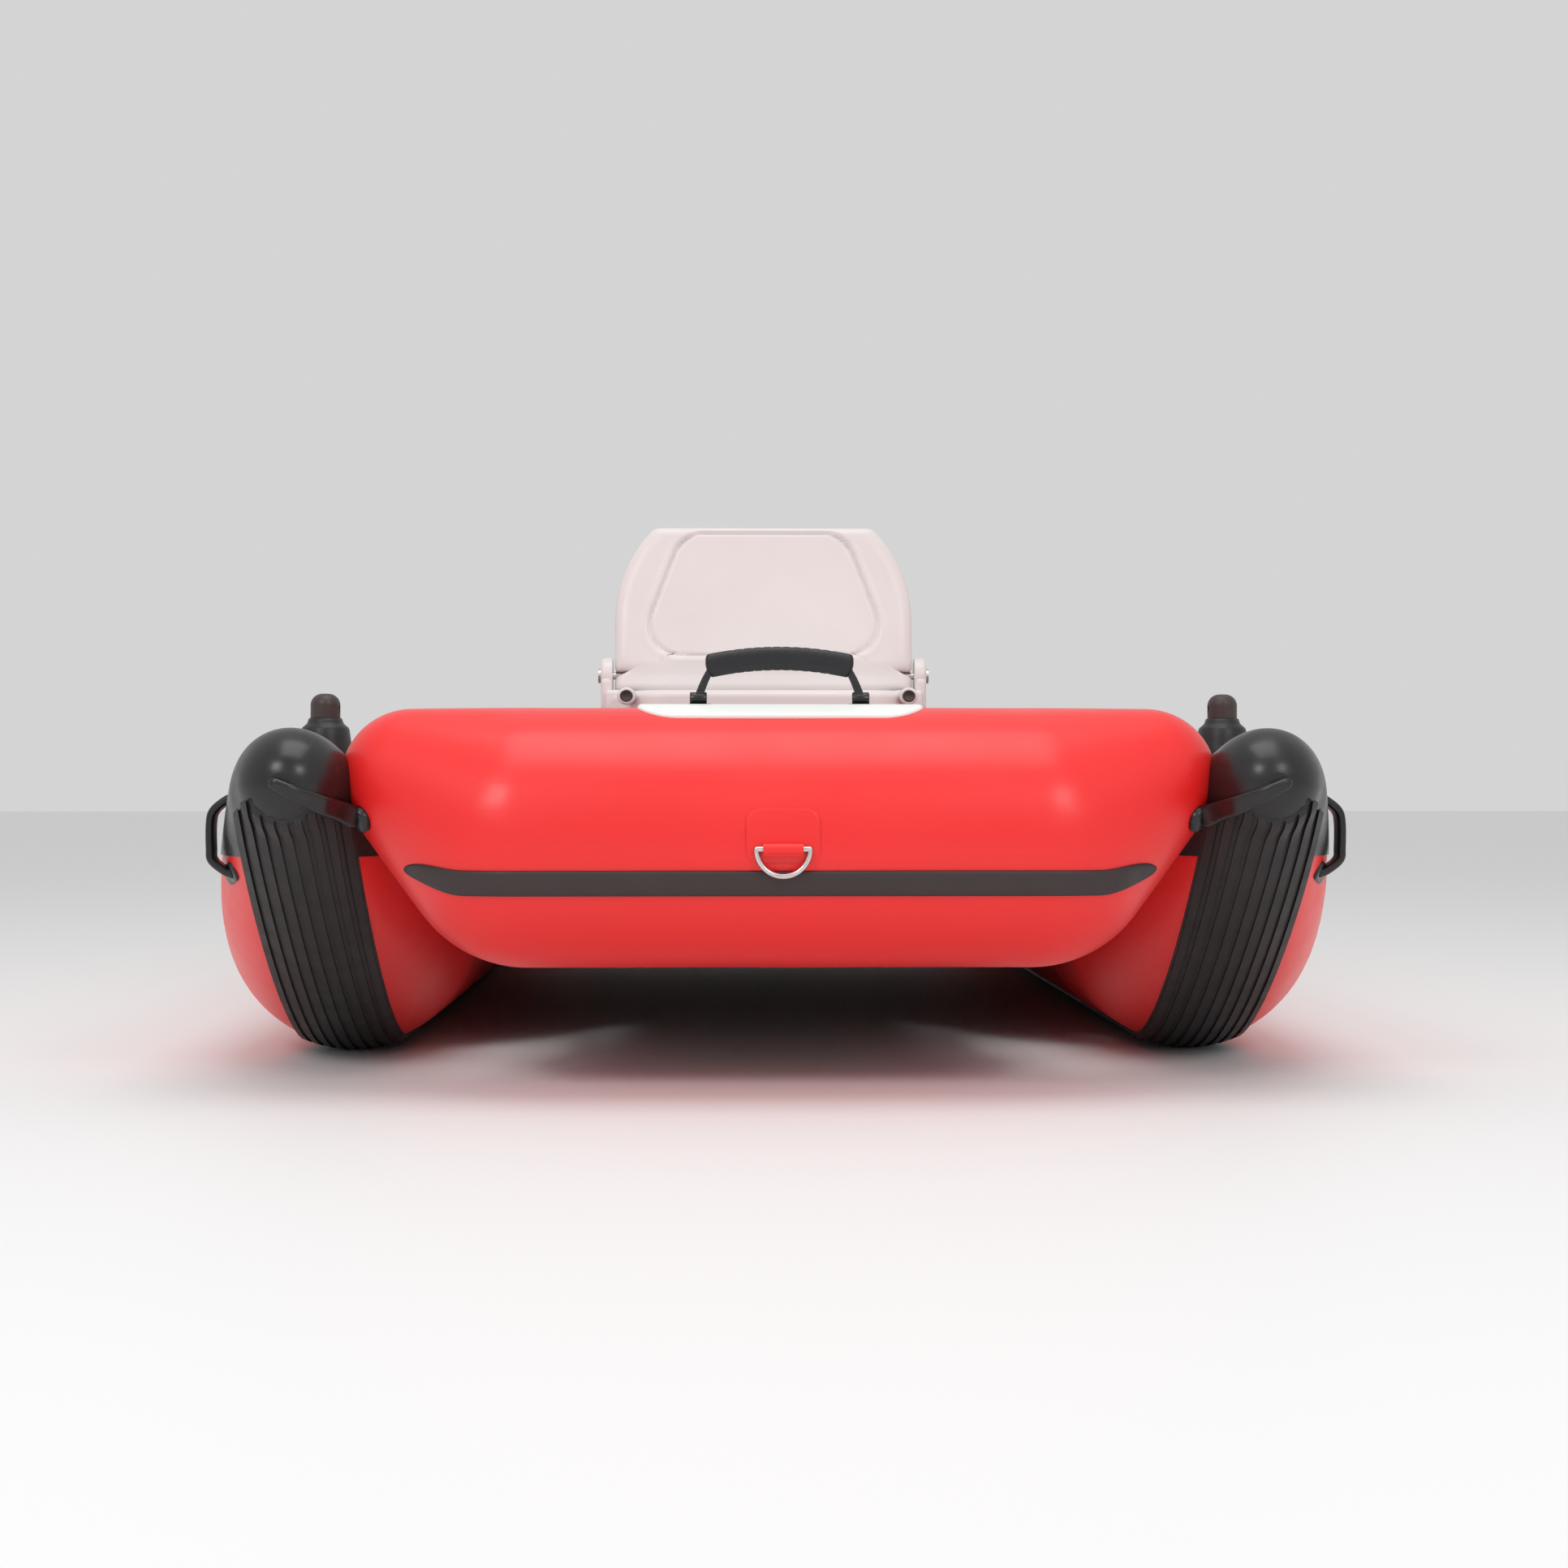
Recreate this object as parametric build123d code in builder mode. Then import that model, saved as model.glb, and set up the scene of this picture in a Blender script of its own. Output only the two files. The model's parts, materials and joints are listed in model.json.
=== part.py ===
"""Inflatable catamaran dinghy: two pontoons, a bow cross tube, an air floor, a transom and a helm seat.

Frame, in millimetres: +Z up, bow towards -Y, X across the boat (port is +X), origin on the ground
under the middle of the hull. Every sub-part is written to parts/NAME.step.
"""

import os
from math import asin, cos, radians, sin, sqrt

from build123d import *

os.makedirs("parts", exist_ok=True)

# ---- driving dimensions ----
GUARD_T, GUARD_BASE = 6.0, 3.0     # keel guard: over its ribs, and between them
WORN_FLAT = 0.5                    # taken off the middle rib, so that the boat stands on a flat
KEEL_Z = GUARD_T - WORN_FLAT       # height of a pontoon's underside
TUBE_X = 574.0                     # pontoon centre line, each side of the middle of the boat
TUBE_R = 168.0                     # pontoon radius along its straight run
TUBE_Z = TUBE_R + KEEL_Z
TUBE_TOP = TUBE_Z + TUBE_R
WALL = 1.5                         # coated fabric of the pontoons and the bow tube
CAP_T = 1.8                        # moulded caps bonded over the pontoon ends
NOSE_Y, STERN_Y = -1500.0, 1547.0  # ends of a pontoon
NOSE_RUN = 600.0                   # length over which the keel sweeps up to the nose
NOSE_LIFT = 92.0                   # how far the nose's top stands above the pontoon's top
NOSE_KEEL = 300.0                  # height of the nose's underside
SWEEP = 1.5                        # how the nose's sweep eases into the straight run
NOSE_TIP = 60.0                    # the sweep ends here, behind the tip
NOSE_BLUNT, STERN_BLUNT = 90.0, 70.0
NOSE_SEAM, STERN_SEAM = 250.0, 150.0   # lengths of the end caps
CAP_LOW = 278.0                    # the nose cap's lower edge
STERN_RUN = 460.0                  # length of the stern cone
STERN_R = 97.0                     # radius of the stern cone before its rounded end

GUARD_W, GUARD_RIBS, RIB_W = 140.0, 9, 9.0
GUARD_START, GUARD_END, GUARD_TOP = -1482.0, 1240.0, 346.0

BOW_Y, BOW_Z, BOW_R = -1380.0, 301.0, 155.0
BOW_END_R = 85.0                   # radius of the bow tube's rounded ends
BOW_STRAIGHT = 300.0               # half length of its cylindrical middle
BOW_LEAN = Vector(138, 0, 69)      # from the end of the cylinder to the end sphere
STRAKE_Z, STRAKE_H, STRAKE_T, STRAKE_HALF = 252.0, 29.0, 5.0, 440.0
PAD_T, PAD_L, PAD_D = 4.0, 340.0, 145.0

FLOOR_Z, FLOOR_T, FLOOR_SKIN = 135.0, 90.0, 2.5
FLOOR_TOP = FLOOR_Z + FLOOR_T
FLOOR_HALF, FLOOR_TAPER_Y, FLOOR_FRONT_HALF, FLOOR_FRONT = 403.0, -900.0, 300.0, -1240.0
FLOOR_CELLS, FLOOR_WEB = 8, 3.0

TRANSOM_Y, TRANSOM_T = 1000.0, 28.0
TRANSOM_LOW, TRANSOM_HIGH, TRANSOM_DIP = 95.0, 440.0, 395.0
TRANSOM_FRONT, TRANSOM_BACK = TRANSOM_Y - TRANSOM_T / 2, TRANSOM_Y + TRANSOM_T / 2
HOLDER_T = 4.0

RING_Z, RING_WIRE, RING_W = 291.0, 6.5, 67.0
PIN_PLAY = 0.08                    # radial clearance of pins and stems in their bores

SEAT_TOP, SEAT_FRONT, SEAT_BACK = 508.0, -560.0, -110.0
SEAT_BOX = (380.0, 400.0)          # width and depth of the box under the seat
SEAT_BOX_Y = -320.0
SEAT_BOX_TOP = 448.0
HINGE_Y, HINGE_Z = -165.0, 545.0
BACK_LEAN = 8.0                    # degrees that the backrest leans aft
BACK_T, BACK_HALF, BACK_TOP_HALF, BACK_H = 44.0, 247.0, 176.0, 252.0
EAR_IN, EAR_OUT, EAR_R = 250.6, 270.0, 30.0

GAP = 0.3                          # air between curved pieces that only lie near each other

HANDLE_Y, HANDLE_Z, HANDLE_HALF, HANDLE_PIN = -1350.0, 468.0, 96.0, 3.0
GRIP_Z, GRIP_T, GRIP_RISE, GRIP_HALF, GRIP_D = 492.0, 29.0, 10.0, 89.0, 20.0
TAB_LOOP = 46.0
RING_Y = BOW_Y - BOW_R - 6.0
BAFFLE_Y, BAFFLE_T = 60.0, 1.2
RIB_PITCH = (GUARD_W - RIB_W - 4) / (GUARD_RIBS - 1)
GUSSET_NOSE, GUSSET_BOW = Vector(583, -1493, 366), Vector(490, -1436, 326)
GUSSET_WEB_Z = 352.0
SIDE_HANDLE_Y, SIDE_HANDLE_W = -1300.0, 30.0
VALVE_R, VALVE_BORE = 20.0, 15.0
VALVE_FLANGE, VALVE_DEPTH = 32.0, 34.0
VALVE_SEAT, VALVE_STEM = 12.0, 3.0
TAPE_W, TAPE_T, TAPE_START, TAPE_END = 36.0, 2.0, -870.0, 940.0
MOTOR_PAD, MOTOR_PAD_Z, MOTOR_PAD_T = (260.0, 130.0), 325.0, 10.0
DRAIN_X, DRAIN_Z, DRAIN_R, DRAIN_BORE = -305.0, 262.0, 17.0, 12.5
EYE_X, EYE_Z, STERN_WIRE = 225.0, 300.0, 7.0
EYE_Y = TRANSOM_BACK + 13.0
HINGE_PIN = 6.0
SWIVEL_X, SWIVEL_Y, SWIVEL_Z = 580.0, -1130.0, 450.0
SWIVEL_HEAD, SWIVEL_STEM, SWIVEL_BORE = 19.0, 8.0, 5.0


def shoulder_plane(lean):
    """Where the port pontoon's valve sits: aft, on the inner shoulder, its normal pointing out."""
    normal = (-sin(radians(lean)), 0, cos(radians(lean)))
    point = (TUBE_X + TUBE_R * normal[0], 760, TUBE_Z + TUBE_R * normal[2])
    return Plane(origin=point, x_dir=(0, 1, 0), z_dir=normal)


def bow_aft_plane(lean):
    """Where the bow tube's valve sits, on its aft face."""
    normal = (0, cos(radians(lean)), sin(radians(lean)))
    return Plane(origin=(170, BOW_Y + BOW_R * normal[1], BOW_Z + BOW_R * normal[2]),
                 x_dir=(1, 0, 0), z_dir=normal)


VALVES = {
    "port": shoulder_plane(38),
    "bow": bow_aft_plane(35),
    "floor": Plane(origin=(251, 860, FLOOR_TOP), x_dir=(1, 0, 0), z_dir=(0, 0, 1)),
}


def save(piece, name):
    """Label a finished piece and write its file."""
    piece.label = name
    export_step(piece, f"parts/{name}.step")


def save_pair(piece, name):
    """Write a port piece and its mirror image to starboard."""
    save(piece, f"{name}_port")
    save(piece.mirror(Plane.YZ), f"{name}_starboard")


# ---- hull forms ----
def nose_section(t):
    """Centre height and radius of the pontoon at a distance t behind the nose tip."""
    u = max(0.0, (t - NOSE_TIP) / (NOSE_RUN - NOSE_TIP))
    top = TUBE_TOP + NOSE_LIFT * (1 - u) ** SWEEP
    keel = KEEL_Z + (NOSE_KEEL - KEEL_Z) * (1 - u) ** SWEEP
    radius = (top - keel) / 2
    if t < NOSE_BLUNT:
        radius *= sqrt(1 - (1 - t / NOSE_BLUNT) ** 2)
    return (top + keel) / 2, radius


def stern_radius(left):
    """Radius of the pontoon at a distance left before the stern tip."""
    u = 1 - left / STERN_RUN
    radius = TUBE_R - (TUBE_R - STERN_R) * u ** 1.6
    if left < STERN_BLUNT:
        radius *= sqrt(1 - (1 - left / STERN_BLUNT) ** 2)
    return radius


NOSE_STATIONS = (1, 4, 10, 20, 34, 52, 75, 105, 150, 210, 280, 350, 420, 500, 560, NOSE_RUN)
STERN_STATIONS = (STERN_RUN, 400, 330, 250, 180, 120, 80, 55, 35, 20, 10, 4, 1)


def cross_plane(y, z):
    """A plane across the port pontoon, its normal towards the bow."""
    return Plane(origin=(TUBE_X, y, z), x_dir=(1, 0, 0), z_dir=(0, -1, 0))


def nose_form(grow):
    """The pontoon's swept-up bow, its skin moved out by grow."""
    with BuildPart() as form:
        for t in NOSE_STATIONS:
            centre, radius = nose_section(t)
            y = NOSE_Y + t - grow * max(0.0, 1 - t / NOSE_BLUNT)
            with BuildSketch(cross_plane(y, centre)):
                Circle(radius + grow)
        loft()
    return form.part


def middle_form(grow):
    """The pontoon's straight run."""
    with BuildPart() as form:
        with BuildSketch(cross_plane(STERN_Y - STERN_RUN, TUBE_Z)):
            Circle(TUBE_R + grow)
        extrude(amount=STERN_Y - STERN_RUN - NOSE_Y - NOSE_RUN)
    return form.part


def stern_form(grow):
    """The pontoon's stern cone, turned about the pontoon's axis."""
    points = []
    for left in STERN_STATIONS:
        y = STERN_Y - left + grow * max(0.0, 1 - left / STERN_BLUNT)
        points.append((TUBE_X + stern_radius(left) + grow, y))
    with BuildPart() as form:
        with BuildSketch(Plane.XY.offset(TUBE_Z)):
            with BuildLine():
                Spline(*points, tangents=((0, 1), (-1, 0.15)))
                Polyline(points[-1], (TUBE_X, points[-1][1]), (TUBE_X, points[0][1]), points[0])
            make_face()
        revolve(axis=Axis((TUBE_X, 0, TUBE_Z), (0, 1, 0)))
    return form.part


def pontoon_shell(outer, inner):
    """A closed skin round the whole pontoon, between two growths of its form."""
    with BuildPart() as shell:
        add(nose_form(outer))
        add(nose_form(inner), mode=Mode.SUBTRACT)
    with BuildPart() as middle:
        add(middle_form(outer))
        add(middle_form(inner), mode=Mode.SUBTRACT)
    with BuildPart() as stern:
        add(stern_form(outer))
        add(stern_form(inner), mode=Mode.SUBTRACT)
    with BuildPart() as whole:
        add(shell.part)
        add(middle.part)
        add(stern.part)
    return whole.part


def bow_form(grow):
    """The bow tube: a cylinder whose ends taper and rise to small spheres."""
    big, small = BOW_R + grow, BOW_END_R + grow
    run = BOW_LEAN.length
    slope = (big - small) / run
    flat = sqrt(1 - slope ** 2)
    mid = asin(slope) / 2 + radians(45)
    start = Vector(BOW_STRAIGHT, BOW_Y, BOW_Z)
    with BuildPart() as ends:
        with BuildSketch(Plane(origin=start, x_dir=BOW_LEAN, z_dir=(0, -1, 0))):
            with BuildLine():
                ThreePointArc((-big, 0), (0, big), (big * slope, big * flat))
                Line((big * slope, big * flat), (run + small * slope, small * flat))
                ThreePointArc((run + small * slope, small * flat),
                              (run + small * sin(mid), small * cos(mid)), (run + small, 0))
                Line((run + small, 0), (-big, 0))
            make_face()
        revolve(axis=Axis(start, BOW_LEAN))
        split(bisect_by=Plane.YZ.offset(BOW_STRAIGHT), keep=Keep.TOP)
        mirror(about=Plane.YZ)
    with BuildPart() as form:
        with BuildSketch(Plane.YZ.offset(-BOW_STRAIGHT)):
            with Locations((BOW_Y, BOW_Z)):
                Circle(big)
        extrude(amount=2 * BOW_STRAIGHT)
        add(ends.part)
    return form.part


# ---- tools for cutting ----
def guard_prism(wide, count=1, pitch=0.0):
    """Upright slabs along a pontoon's underside, which cut the guard and its ribs from a form."""
    first = TUBE_X - pitch * (count - 1) / 2
    with BuildPart() as prism:
        for i in range(count):
            with BuildSketch(Plane.YZ.offset(first + i * pitch - wide / 2)):
                with BuildLine():
                    Polyline((GUARD_START, GUARD_TOP), (NOSE_Y + NOSE_RUN, TUBE_Z), (GUARD_END, TUBE_Z),
                             (GUARD_END, -20), (GUARD_START, -20), close=True)
                make_face()
            extrude(amount=wide)
    return prism.part


def across(y_low, y_high, z_low=0.0):
    """A big box across the boat between two stations, from a height upwards."""
    with BuildPart() as box:
        with BuildSketch(Plane.XY.offset(z_low)):
            with Locations((0, (y_low + y_high) / 2)):
                Rectangle(2400, y_high - y_low)
        extrude(amount=1200)
    return box.part


def plug(plane, radius, low, high):
    """A plain round plug along a plane's normal."""
    with BuildPart() as core:
        with BuildSketch(plane.offset(low)):
            Circle(radius)
        extrude(amount=high - low)
    return core.part


def d_ring(plane, width, depth, wire):
    """A closed D of round wire: a bar along the plane's X, with a bow hanging along its -Y."""
    half = (width - wire) / 2
    with BuildPart() as ring:
        with BuildLine(plane):
            bar = Line((-half, 0), (half, 0))
        with BuildSketch(Plane(origin=bar @ 0, z_dir=bar % 0)):
            Circle(wire / 2)
        sweep(path=bar)
        with BuildLine(plane):
            bow = ThreePointArc((half, 0), (0, wire / 2 - depth), (-half, 0))
        with BuildSketch(Plane(origin=bow @ 0, z_dir=bow % 0)):
            Circle(wire / 2)
        sweep(path=bow)
        with Locations(bar @ 0, bar @ 1):
            Sphere(wire / 2)
    return ring.part


FORMS = (nose_form(0), middle_form(0), stern_form(0))
BOW = bow_form(0)


# ---- pontoons and what is bonded to them ----
with BuildPart() as pontoon:
    add(pontoon_shell(0, -WALL))
    add(plug(VALVES["port"], VALVE_R, -30, 30), mode=Mode.SUBTRACT)
save_pair(pontoon.part, "pontoon")

with BuildPart() as nose_cap:
    add(nose_form(CAP_T))
    add(across(NOSE_Y - 50, NOSE_Y + NOSE_SEAM, CAP_LOW), mode=Mode.INTERSECT)
    add(FORMS[0], mode=Mode.SUBTRACT)
    add(guard_prism(GUARD_W), mode=Mode.SUBTRACT)
save_pair(nose_cap.part, "nose_cap")

with BuildPart() as stern_cap:
    add(stern_form(CAP_T))
    add(across(STERN_Y - STERN_SEAM, STERN_Y + 50), mode=Mode.INTERSECT)
    add(FORMS[2], mode=Mode.SUBTRACT)
save_pair(stern_cap.part, "stern_cap")

with BuildPart() as keel_guard:
    for form in (nose_form, middle_form, stern_form):
        with BuildPart(mode=Mode.PRIVATE) as base:
            add(form(GUARD_BASE))
            add(guard_prism(GUARD_W), mode=Mode.INTERSECT)
        with BuildPart(mode=Mode.PRIVATE) as ribs:
            add(form(GUARD_T))
            add(guard_prism(RIB_W, GUARD_RIBS, RIB_PITCH), mode=Mode.INTERSECT)
        add(base.part)
        add(ribs.part)
    for form in FORMS:
        add(form, mode=Mode.SUBTRACT)
    add(across(NOSE_Y - 50, STERN_Y), mode=Mode.INTERSECT)
save_pair(keel_guard.part, "keel_guard")

with BuildPart() as baffle:
    with BuildSketch(cross_plane(BAFFLE_Y, TUBE_Z)):
        Circle(TUBE_R - WALL)
    extrude(amount=BAFFLE_T)
save_pair(baffle.part, "baffle")

# ---- bow tube and its fittings ----
with BuildPart() as bow_tube:
    add(BOW)
    add(bow_form(-WALL), mode=Mode.SUBTRACT)
    add(plug(VALVES["bow"], VALVE_R, -30, 30), mode=Mode.SUBTRACT)
    for nose in (nose_form(CAP_T), nose_form(CAP_T).mirror(Plane.YZ)):
        add(nose, mode=Mode.SUBTRACT)
save(bow_tube.part, "bow_tube")

with BuildPart() as bow_strake:
    add(bow_form(STRAKE_T))
    with BuildSketch(Plane.XZ.offset(-BOW_Y), mode=Mode.PRIVATE) as strake_face:
        with BuildLine():
            Polyline((-STRAKE_HALF, STRAKE_Z + 12), (-STRAKE_HALF + 50, STRAKE_Z - STRAKE_H / 2),
                     (STRAKE_HALF - 50, STRAKE_Z - STRAKE_H / 2), (STRAKE_HALF, STRAKE_Z + 12),
                     (STRAKE_HALF - 20, STRAKE_Z + STRAKE_H / 2),
                     (-STRAKE_HALF + 20, STRAKE_Z + STRAKE_H / 2), close=True)
        make_face()
    extrude(strake_face.sketch, amount=260, mode=Mode.INTERSECT)
    add(BOW, mode=Mode.SUBTRACT)
save(bow_strake.part, "bow_strake")

with BuildPart() as bow_pad:
    add(bow_form(PAD_T))
    with BuildSketch(Plane.XY.offset(BOW_Z + 60), mode=Mode.PRIVATE) as pad_face:
        with Locations((0, BOW_Y + 8)):
            RectangleRounded(PAD_L, PAD_D, 42)
    extrude(pad_face.sketch, amount=200, mode=Mode.INTERSECT)
    add(BOW, mode=Mode.SUBTRACT)
save(bow_pad.part, "bow_pad")

# the ring hangs from a bar that runs through the tab's loop
with BuildPart() as bow_ring_tab:
    add(bow_form(2.5))
    with BuildSketch(Plane.XZ.offset(-BOW_Y), mode=Mode.PRIVATE) as tab_face:
        with Locations((0, RING_Z + 16)):
            RectangleRounded(84, 62, 14)
    extrude(tab_face.sketch, amount=260, mode=Mode.INTERSECT)
    with Locations((0, RING_Y + 3, RING_Z)):
        Box(TAB_LOOP, 14, 14)
    with BuildSketch(Plane.YZ.offset(-TAB_LOOP / 2)):
        with Locations((RING_Y, RING_Z)):
            Circle(7)
    extrude(amount=TAB_LOOP)
    add(BOW, mode=Mode.SUBTRACT)
    with BuildSketch(Plane.YZ.offset(-RING_W / 2)):
        with Locations((RING_Y, RING_Z)):
            Circle(RING_WIRE / 2 + PIN_PLAY)
    extrude(amount=RING_W, mode=Mode.SUBTRACT)
save(bow_ring_tab.part, "bow_ring_tab")


save(d_ring(Plane(origin=(0, RING_Y, RING_Z), x_dir=(1, 0, 0), z_dir=(0, -1, 0)),
            RING_W, 34, RING_WIRE), "bow_ring")

# grab handle on the pad: two lugs, a strap that pivots in them and a moulded grip
with BuildPart() as handle_lug:
    with BuildSketch(Plane.XY.offset(HANDLE_Z - 24)):
        with Locations((HANDLE_HALF, HANDLE_Y)):
            RectangleRounded(34, 40, 8)
    extrude(amount=24 - 6)
    with BuildSketch(Plane.YZ.offset(HANDLE_HALF - 15)):
        with Locations((HANDLE_Y, HANDLE_Z)):
            Circle(8)
        with Locations((HANDLE_Y, HANDLE_Z - 6)):
            Rectangle(16, 12)
    extrude(amount=30)
    with BuildSketch(Plane.YZ.offset(HANDLE_HALF - 8)):
        with Locations((HANDLE_Y, HANDLE_Z)):
            Circle(9)
    extrude(amount=16, mode=Mode.SUBTRACT)
    with BuildSketch(Plane.YZ.offset(HANDLE_HALF - 20)):
        with Locations((HANDLE_Y, HANDLE_Z)):
            Circle(HANDLE_PIN + PIN_PLAY)
    extrude(amount=40, mode=Mode.SUBTRACT)
    add(bow_form(PAD_T), mode=Mode.SUBTRACT)
save_pair(handle_lug.part, "bow_handle_lug")

with BuildPart() as handle_strap:
    with BuildSketch(Plane.XZ.offset(-HANDLE_Y)):
        with BuildLine():
            Polyline((HANDLE_HALF - 6, HANDLE_Z), (HANDLE_HALF - 6, HANDLE_Z + 18),
                     (GRIP_HALF - 12, GRIP_Z + 8), (GRIP_HALF - 12, GRIP_Z + 16),
                     (GRIP_HALF - 4, GRIP_Z + 14), (HANDLE_HALF + 6, HANDLE_Z + 20),
                     (HANDLE_HALF + 6, HANDLE_Z), close=True)
        make_face()
    extrude(amount=5, both=True)
    with BuildSketch(Plane.YZ.offset(HANDLE_HALF - 6)):
        with Locations((HANDLE_Y, HANDLE_Z)):
            Circle(7)
    extrude(amount=12)
    with BuildSketch(Plane.YZ.offset(HANDLE_HALF - 14)):
        with Locations((HANDLE_Y, HANDLE_Z)):
            Circle(HANDLE_PIN)
    extrude(amount=28)
    mirror(about=Plane.YZ)
    with BuildSketch(Plane.XZ.offset(-HANDLE_Y)):
        with BuildLine():
            low = ThreePointArc((-GRIP_HALF + 6, GRIP_Z + 10), (0, GRIP_Z + 10 + GRIP_RISE),
                                (GRIP_HALF - 6, GRIP_Z + 10))
            high = ThreePointArc((-GRIP_HALF + 6, GRIP_Z + 16), (0, GRIP_Z + 16 + GRIP_RISE),
                                 (GRIP_HALF - 6, GRIP_Z + 16))
            Line(low @ 0, high @ 0)
            Line(low @ 1, high @ 1)
        make_face()
    extrude(amount=5, both=True)
save(handle_strap.part, "bow_handle_strap")

with BuildPart() as handle_grip:
    with BuildSketch(Plane.XZ.offset(-HANDLE_Y)):
        with BuildLine():
            low = ThreePointArc((-GRIP_HALF, GRIP_Z), (0, GRIP_Z + GRIP_RISE), (GRIP_HALF, GRIP_Z))
            high = ThreePointArc((-GRIP_HALF, GRIP_Z + GRIP_T), (0, GRIP_Z + GRIP_T + GRIP_RISE),
                                 (GRIP_HALF, GRIP_Z + GRIP_T))
            Line(low @ 0, high @ 0)
            Line(low @ 1, high @ 1)
        make_face()
    extrude(amount=GRIP_D / 2, both=True)
    fillet(handle_grip.edges().filter_by(GeomType.CIRCLE), radius=6)
    add(handle_strap.part, mode=Mode.SUBTRACT)
save(handle_grip.part, "bow_handle_grip")

# ---- gussets between the noses and the bow tube ----
with BuildPart() as gusset_strap:
    with BuildSketch(Plane(origin=GUSSET_NOSE, x_dir=(0, -1, 0), z_dir=GUSSET_BOW - GUSSET_NOSE)):
        RectangleRounded(12, 15, 5)
    with BuildSketch(Plane(origin=GUSSET_BOW, x_dir=(0, -1, 0), z_dir=GUSSET_BOW - GUSSET_NOSE)):
        RectangleRounded(14, 26, 6)
    loft()
    with Locations(GUSSET_BOW):
        Sphere(17)
    add(BOW, mode=Mode.SUBTRACT)
    add(nose_form(GUARD_T), mode=Mode.SUBTRACT)
save_pair(gusset_strap.part, "gusset_strap")

with BuildPart() as gusset:
    with BuildSketch(Plane.XY.offset(GUSSET_WEB_Z)):
        with BuildLine():
            Polyline((430, -1424), (585, -1490), (585, -1340), (430, -1340), close=True)
        make_face()
    extrude(amount=3)
    add(BOW, mode=Mode.SUBTRACT)
    add(nose_form(GUARD_T), mode=Mode.SUBTRACT)
    add(gusset_strap.part, mode=Mode.SUBTRACT)
save_pair(gusset.part.solids().sort_by(SortBy.VOLUME)[-1], "gusset")

# ---- carry handles on the outer sides of the noses ----
with BuildPart() as side_handle:
    with BuildSketch(Plane.XZ.offset(-SIDE_HANDLE_Y)):
        with BuildLine():
            Polyline((630, 228), (662, 232), (696, 256), (708, 278), (708, 308), (698, 330),
                     (672, 356), (630, 362), close=True)
        make_face()
        with BuildLine():
            Polyline((630, 238), (659, 242), (690, 262), (701, 280), (701, 306), (692, 325),
                     (666, 349), (630, 354), close=True)
        make_face(mode=Mode.SUBTRACT)
    extrude(amount=SIDE_HANDLE_W / 2, both=True)
    with BuildPart(mode=Mode.PRIVATE) as feet:
        add(nose_form(CAP_T + 3))
        with BuildPart(mode=Mode.PRIVATE) as blocks:
            with Locations((676, SIDE_HANDLE_Y, 242), (676, SIDE_HANDLE_Y, 348)):
                Box(90, 54, 30)
        add(blocks.part, mode=Mode.INTERSECT)
    add(feet.part)
    add(FORMS[0], mode=Mode.SUBTRACT)
    add(nose_cap.part, mode=Mode.SUBTRACT)
    add(guard_prism(GUARD_W + 2), mode=Mode.SUBTRACT)
save_pair(side_handle.part, "side_handle")

# ---- air floor ----
with BuildPart() as floor:
    with BuildSketch(Plane.XY.offset(FLOOR_Z)):
        with BuildLine():
            Polyline((-FLOOR_FRONT_HALF, FLOOR_FRONT), (FLOOR_FRONT_HALF, FLOOR_FRONT),
                     (FLOOR_HALF, FLOOR_TAPER_Y), (FLOOR_HALF, TRANSOM_FRONT),
                     (-FLOOR_HALF, TRANSOM_FRONT), (-FLOOR_HALF, FLOOR_TAPER_Y), close=True)
        make_face()
    extrude(amount=FLOOR_T)
    add(BOW, mode=Mode.SUBTRACT)
    cell = (2 * FLOOR_HALF - 2 * FLOOR_SKIN - (FLOOR_CELLS - 1) * FLOOR_WEB) / FLOOR_CELLS
    middle = (FLOOR_TAPER_Y - 240 + TRANSOM_FRONT) / 2
    run = TRANSOM_FRONT - 60 - (FLOOR_TAPER_Y - 240)
    with BuildSketch(Plane.XY.offset(FLOOR_Z + FLOOR_SKIN)):
        with GridLocations(cell + FLOOR_WEB, 1, FLOOR_CELLS, 1):
            with Locations((0, middle)):
                Rectangle(cell, run)
        for y in (middle - run / 2 + 20, middle + run / 2 - 20):
            with Locations((0, y)):
                Rectangle(2 * FLOOR_HALF - 40, 30)
    extrude(amount=FLOOR_T - 2 * FLOOR_SKIN, mode=Mode.SUBTRACT)
    add(plug(VALVES["floor"], VALVE_R, -30, 30), mode=Mode.SUBTRACT)
save(floor.part, "floor")

with BuildPart() as floor_tape:
    with BuildSketch(Plane.XZ.offset(-TAPE_END)):
        with Locations((TUBE_X, TUBE_Z)):
            Circle(TUBE_R + TAPE_T)
        with Locations(((FLOOR_HALF + TUBE_X) / 2 - TAPE_W, FLOOR_TOP + TAPE_W / 2)):
            Rectangle(TUBE_X - FLOOR_HALF, TAPE_W, mode=Mode.INTERSECT)
        with Locations((FLOOR_HALF - TAPE_W / 2 + 6, FLOOR_TOP + TAPE_T / 2)):
            Rectangle(TAPE_W + 12, TAPE_T)
        with Locations((TUBE_X, TUBE_Z)):
            Circle(TUBE_R, mode=Mode.SUBTRACT)
    extrude(amount=TAPE_END - TAPE_START)
save_pair(floor_tape.part, "floor_tape")

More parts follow.
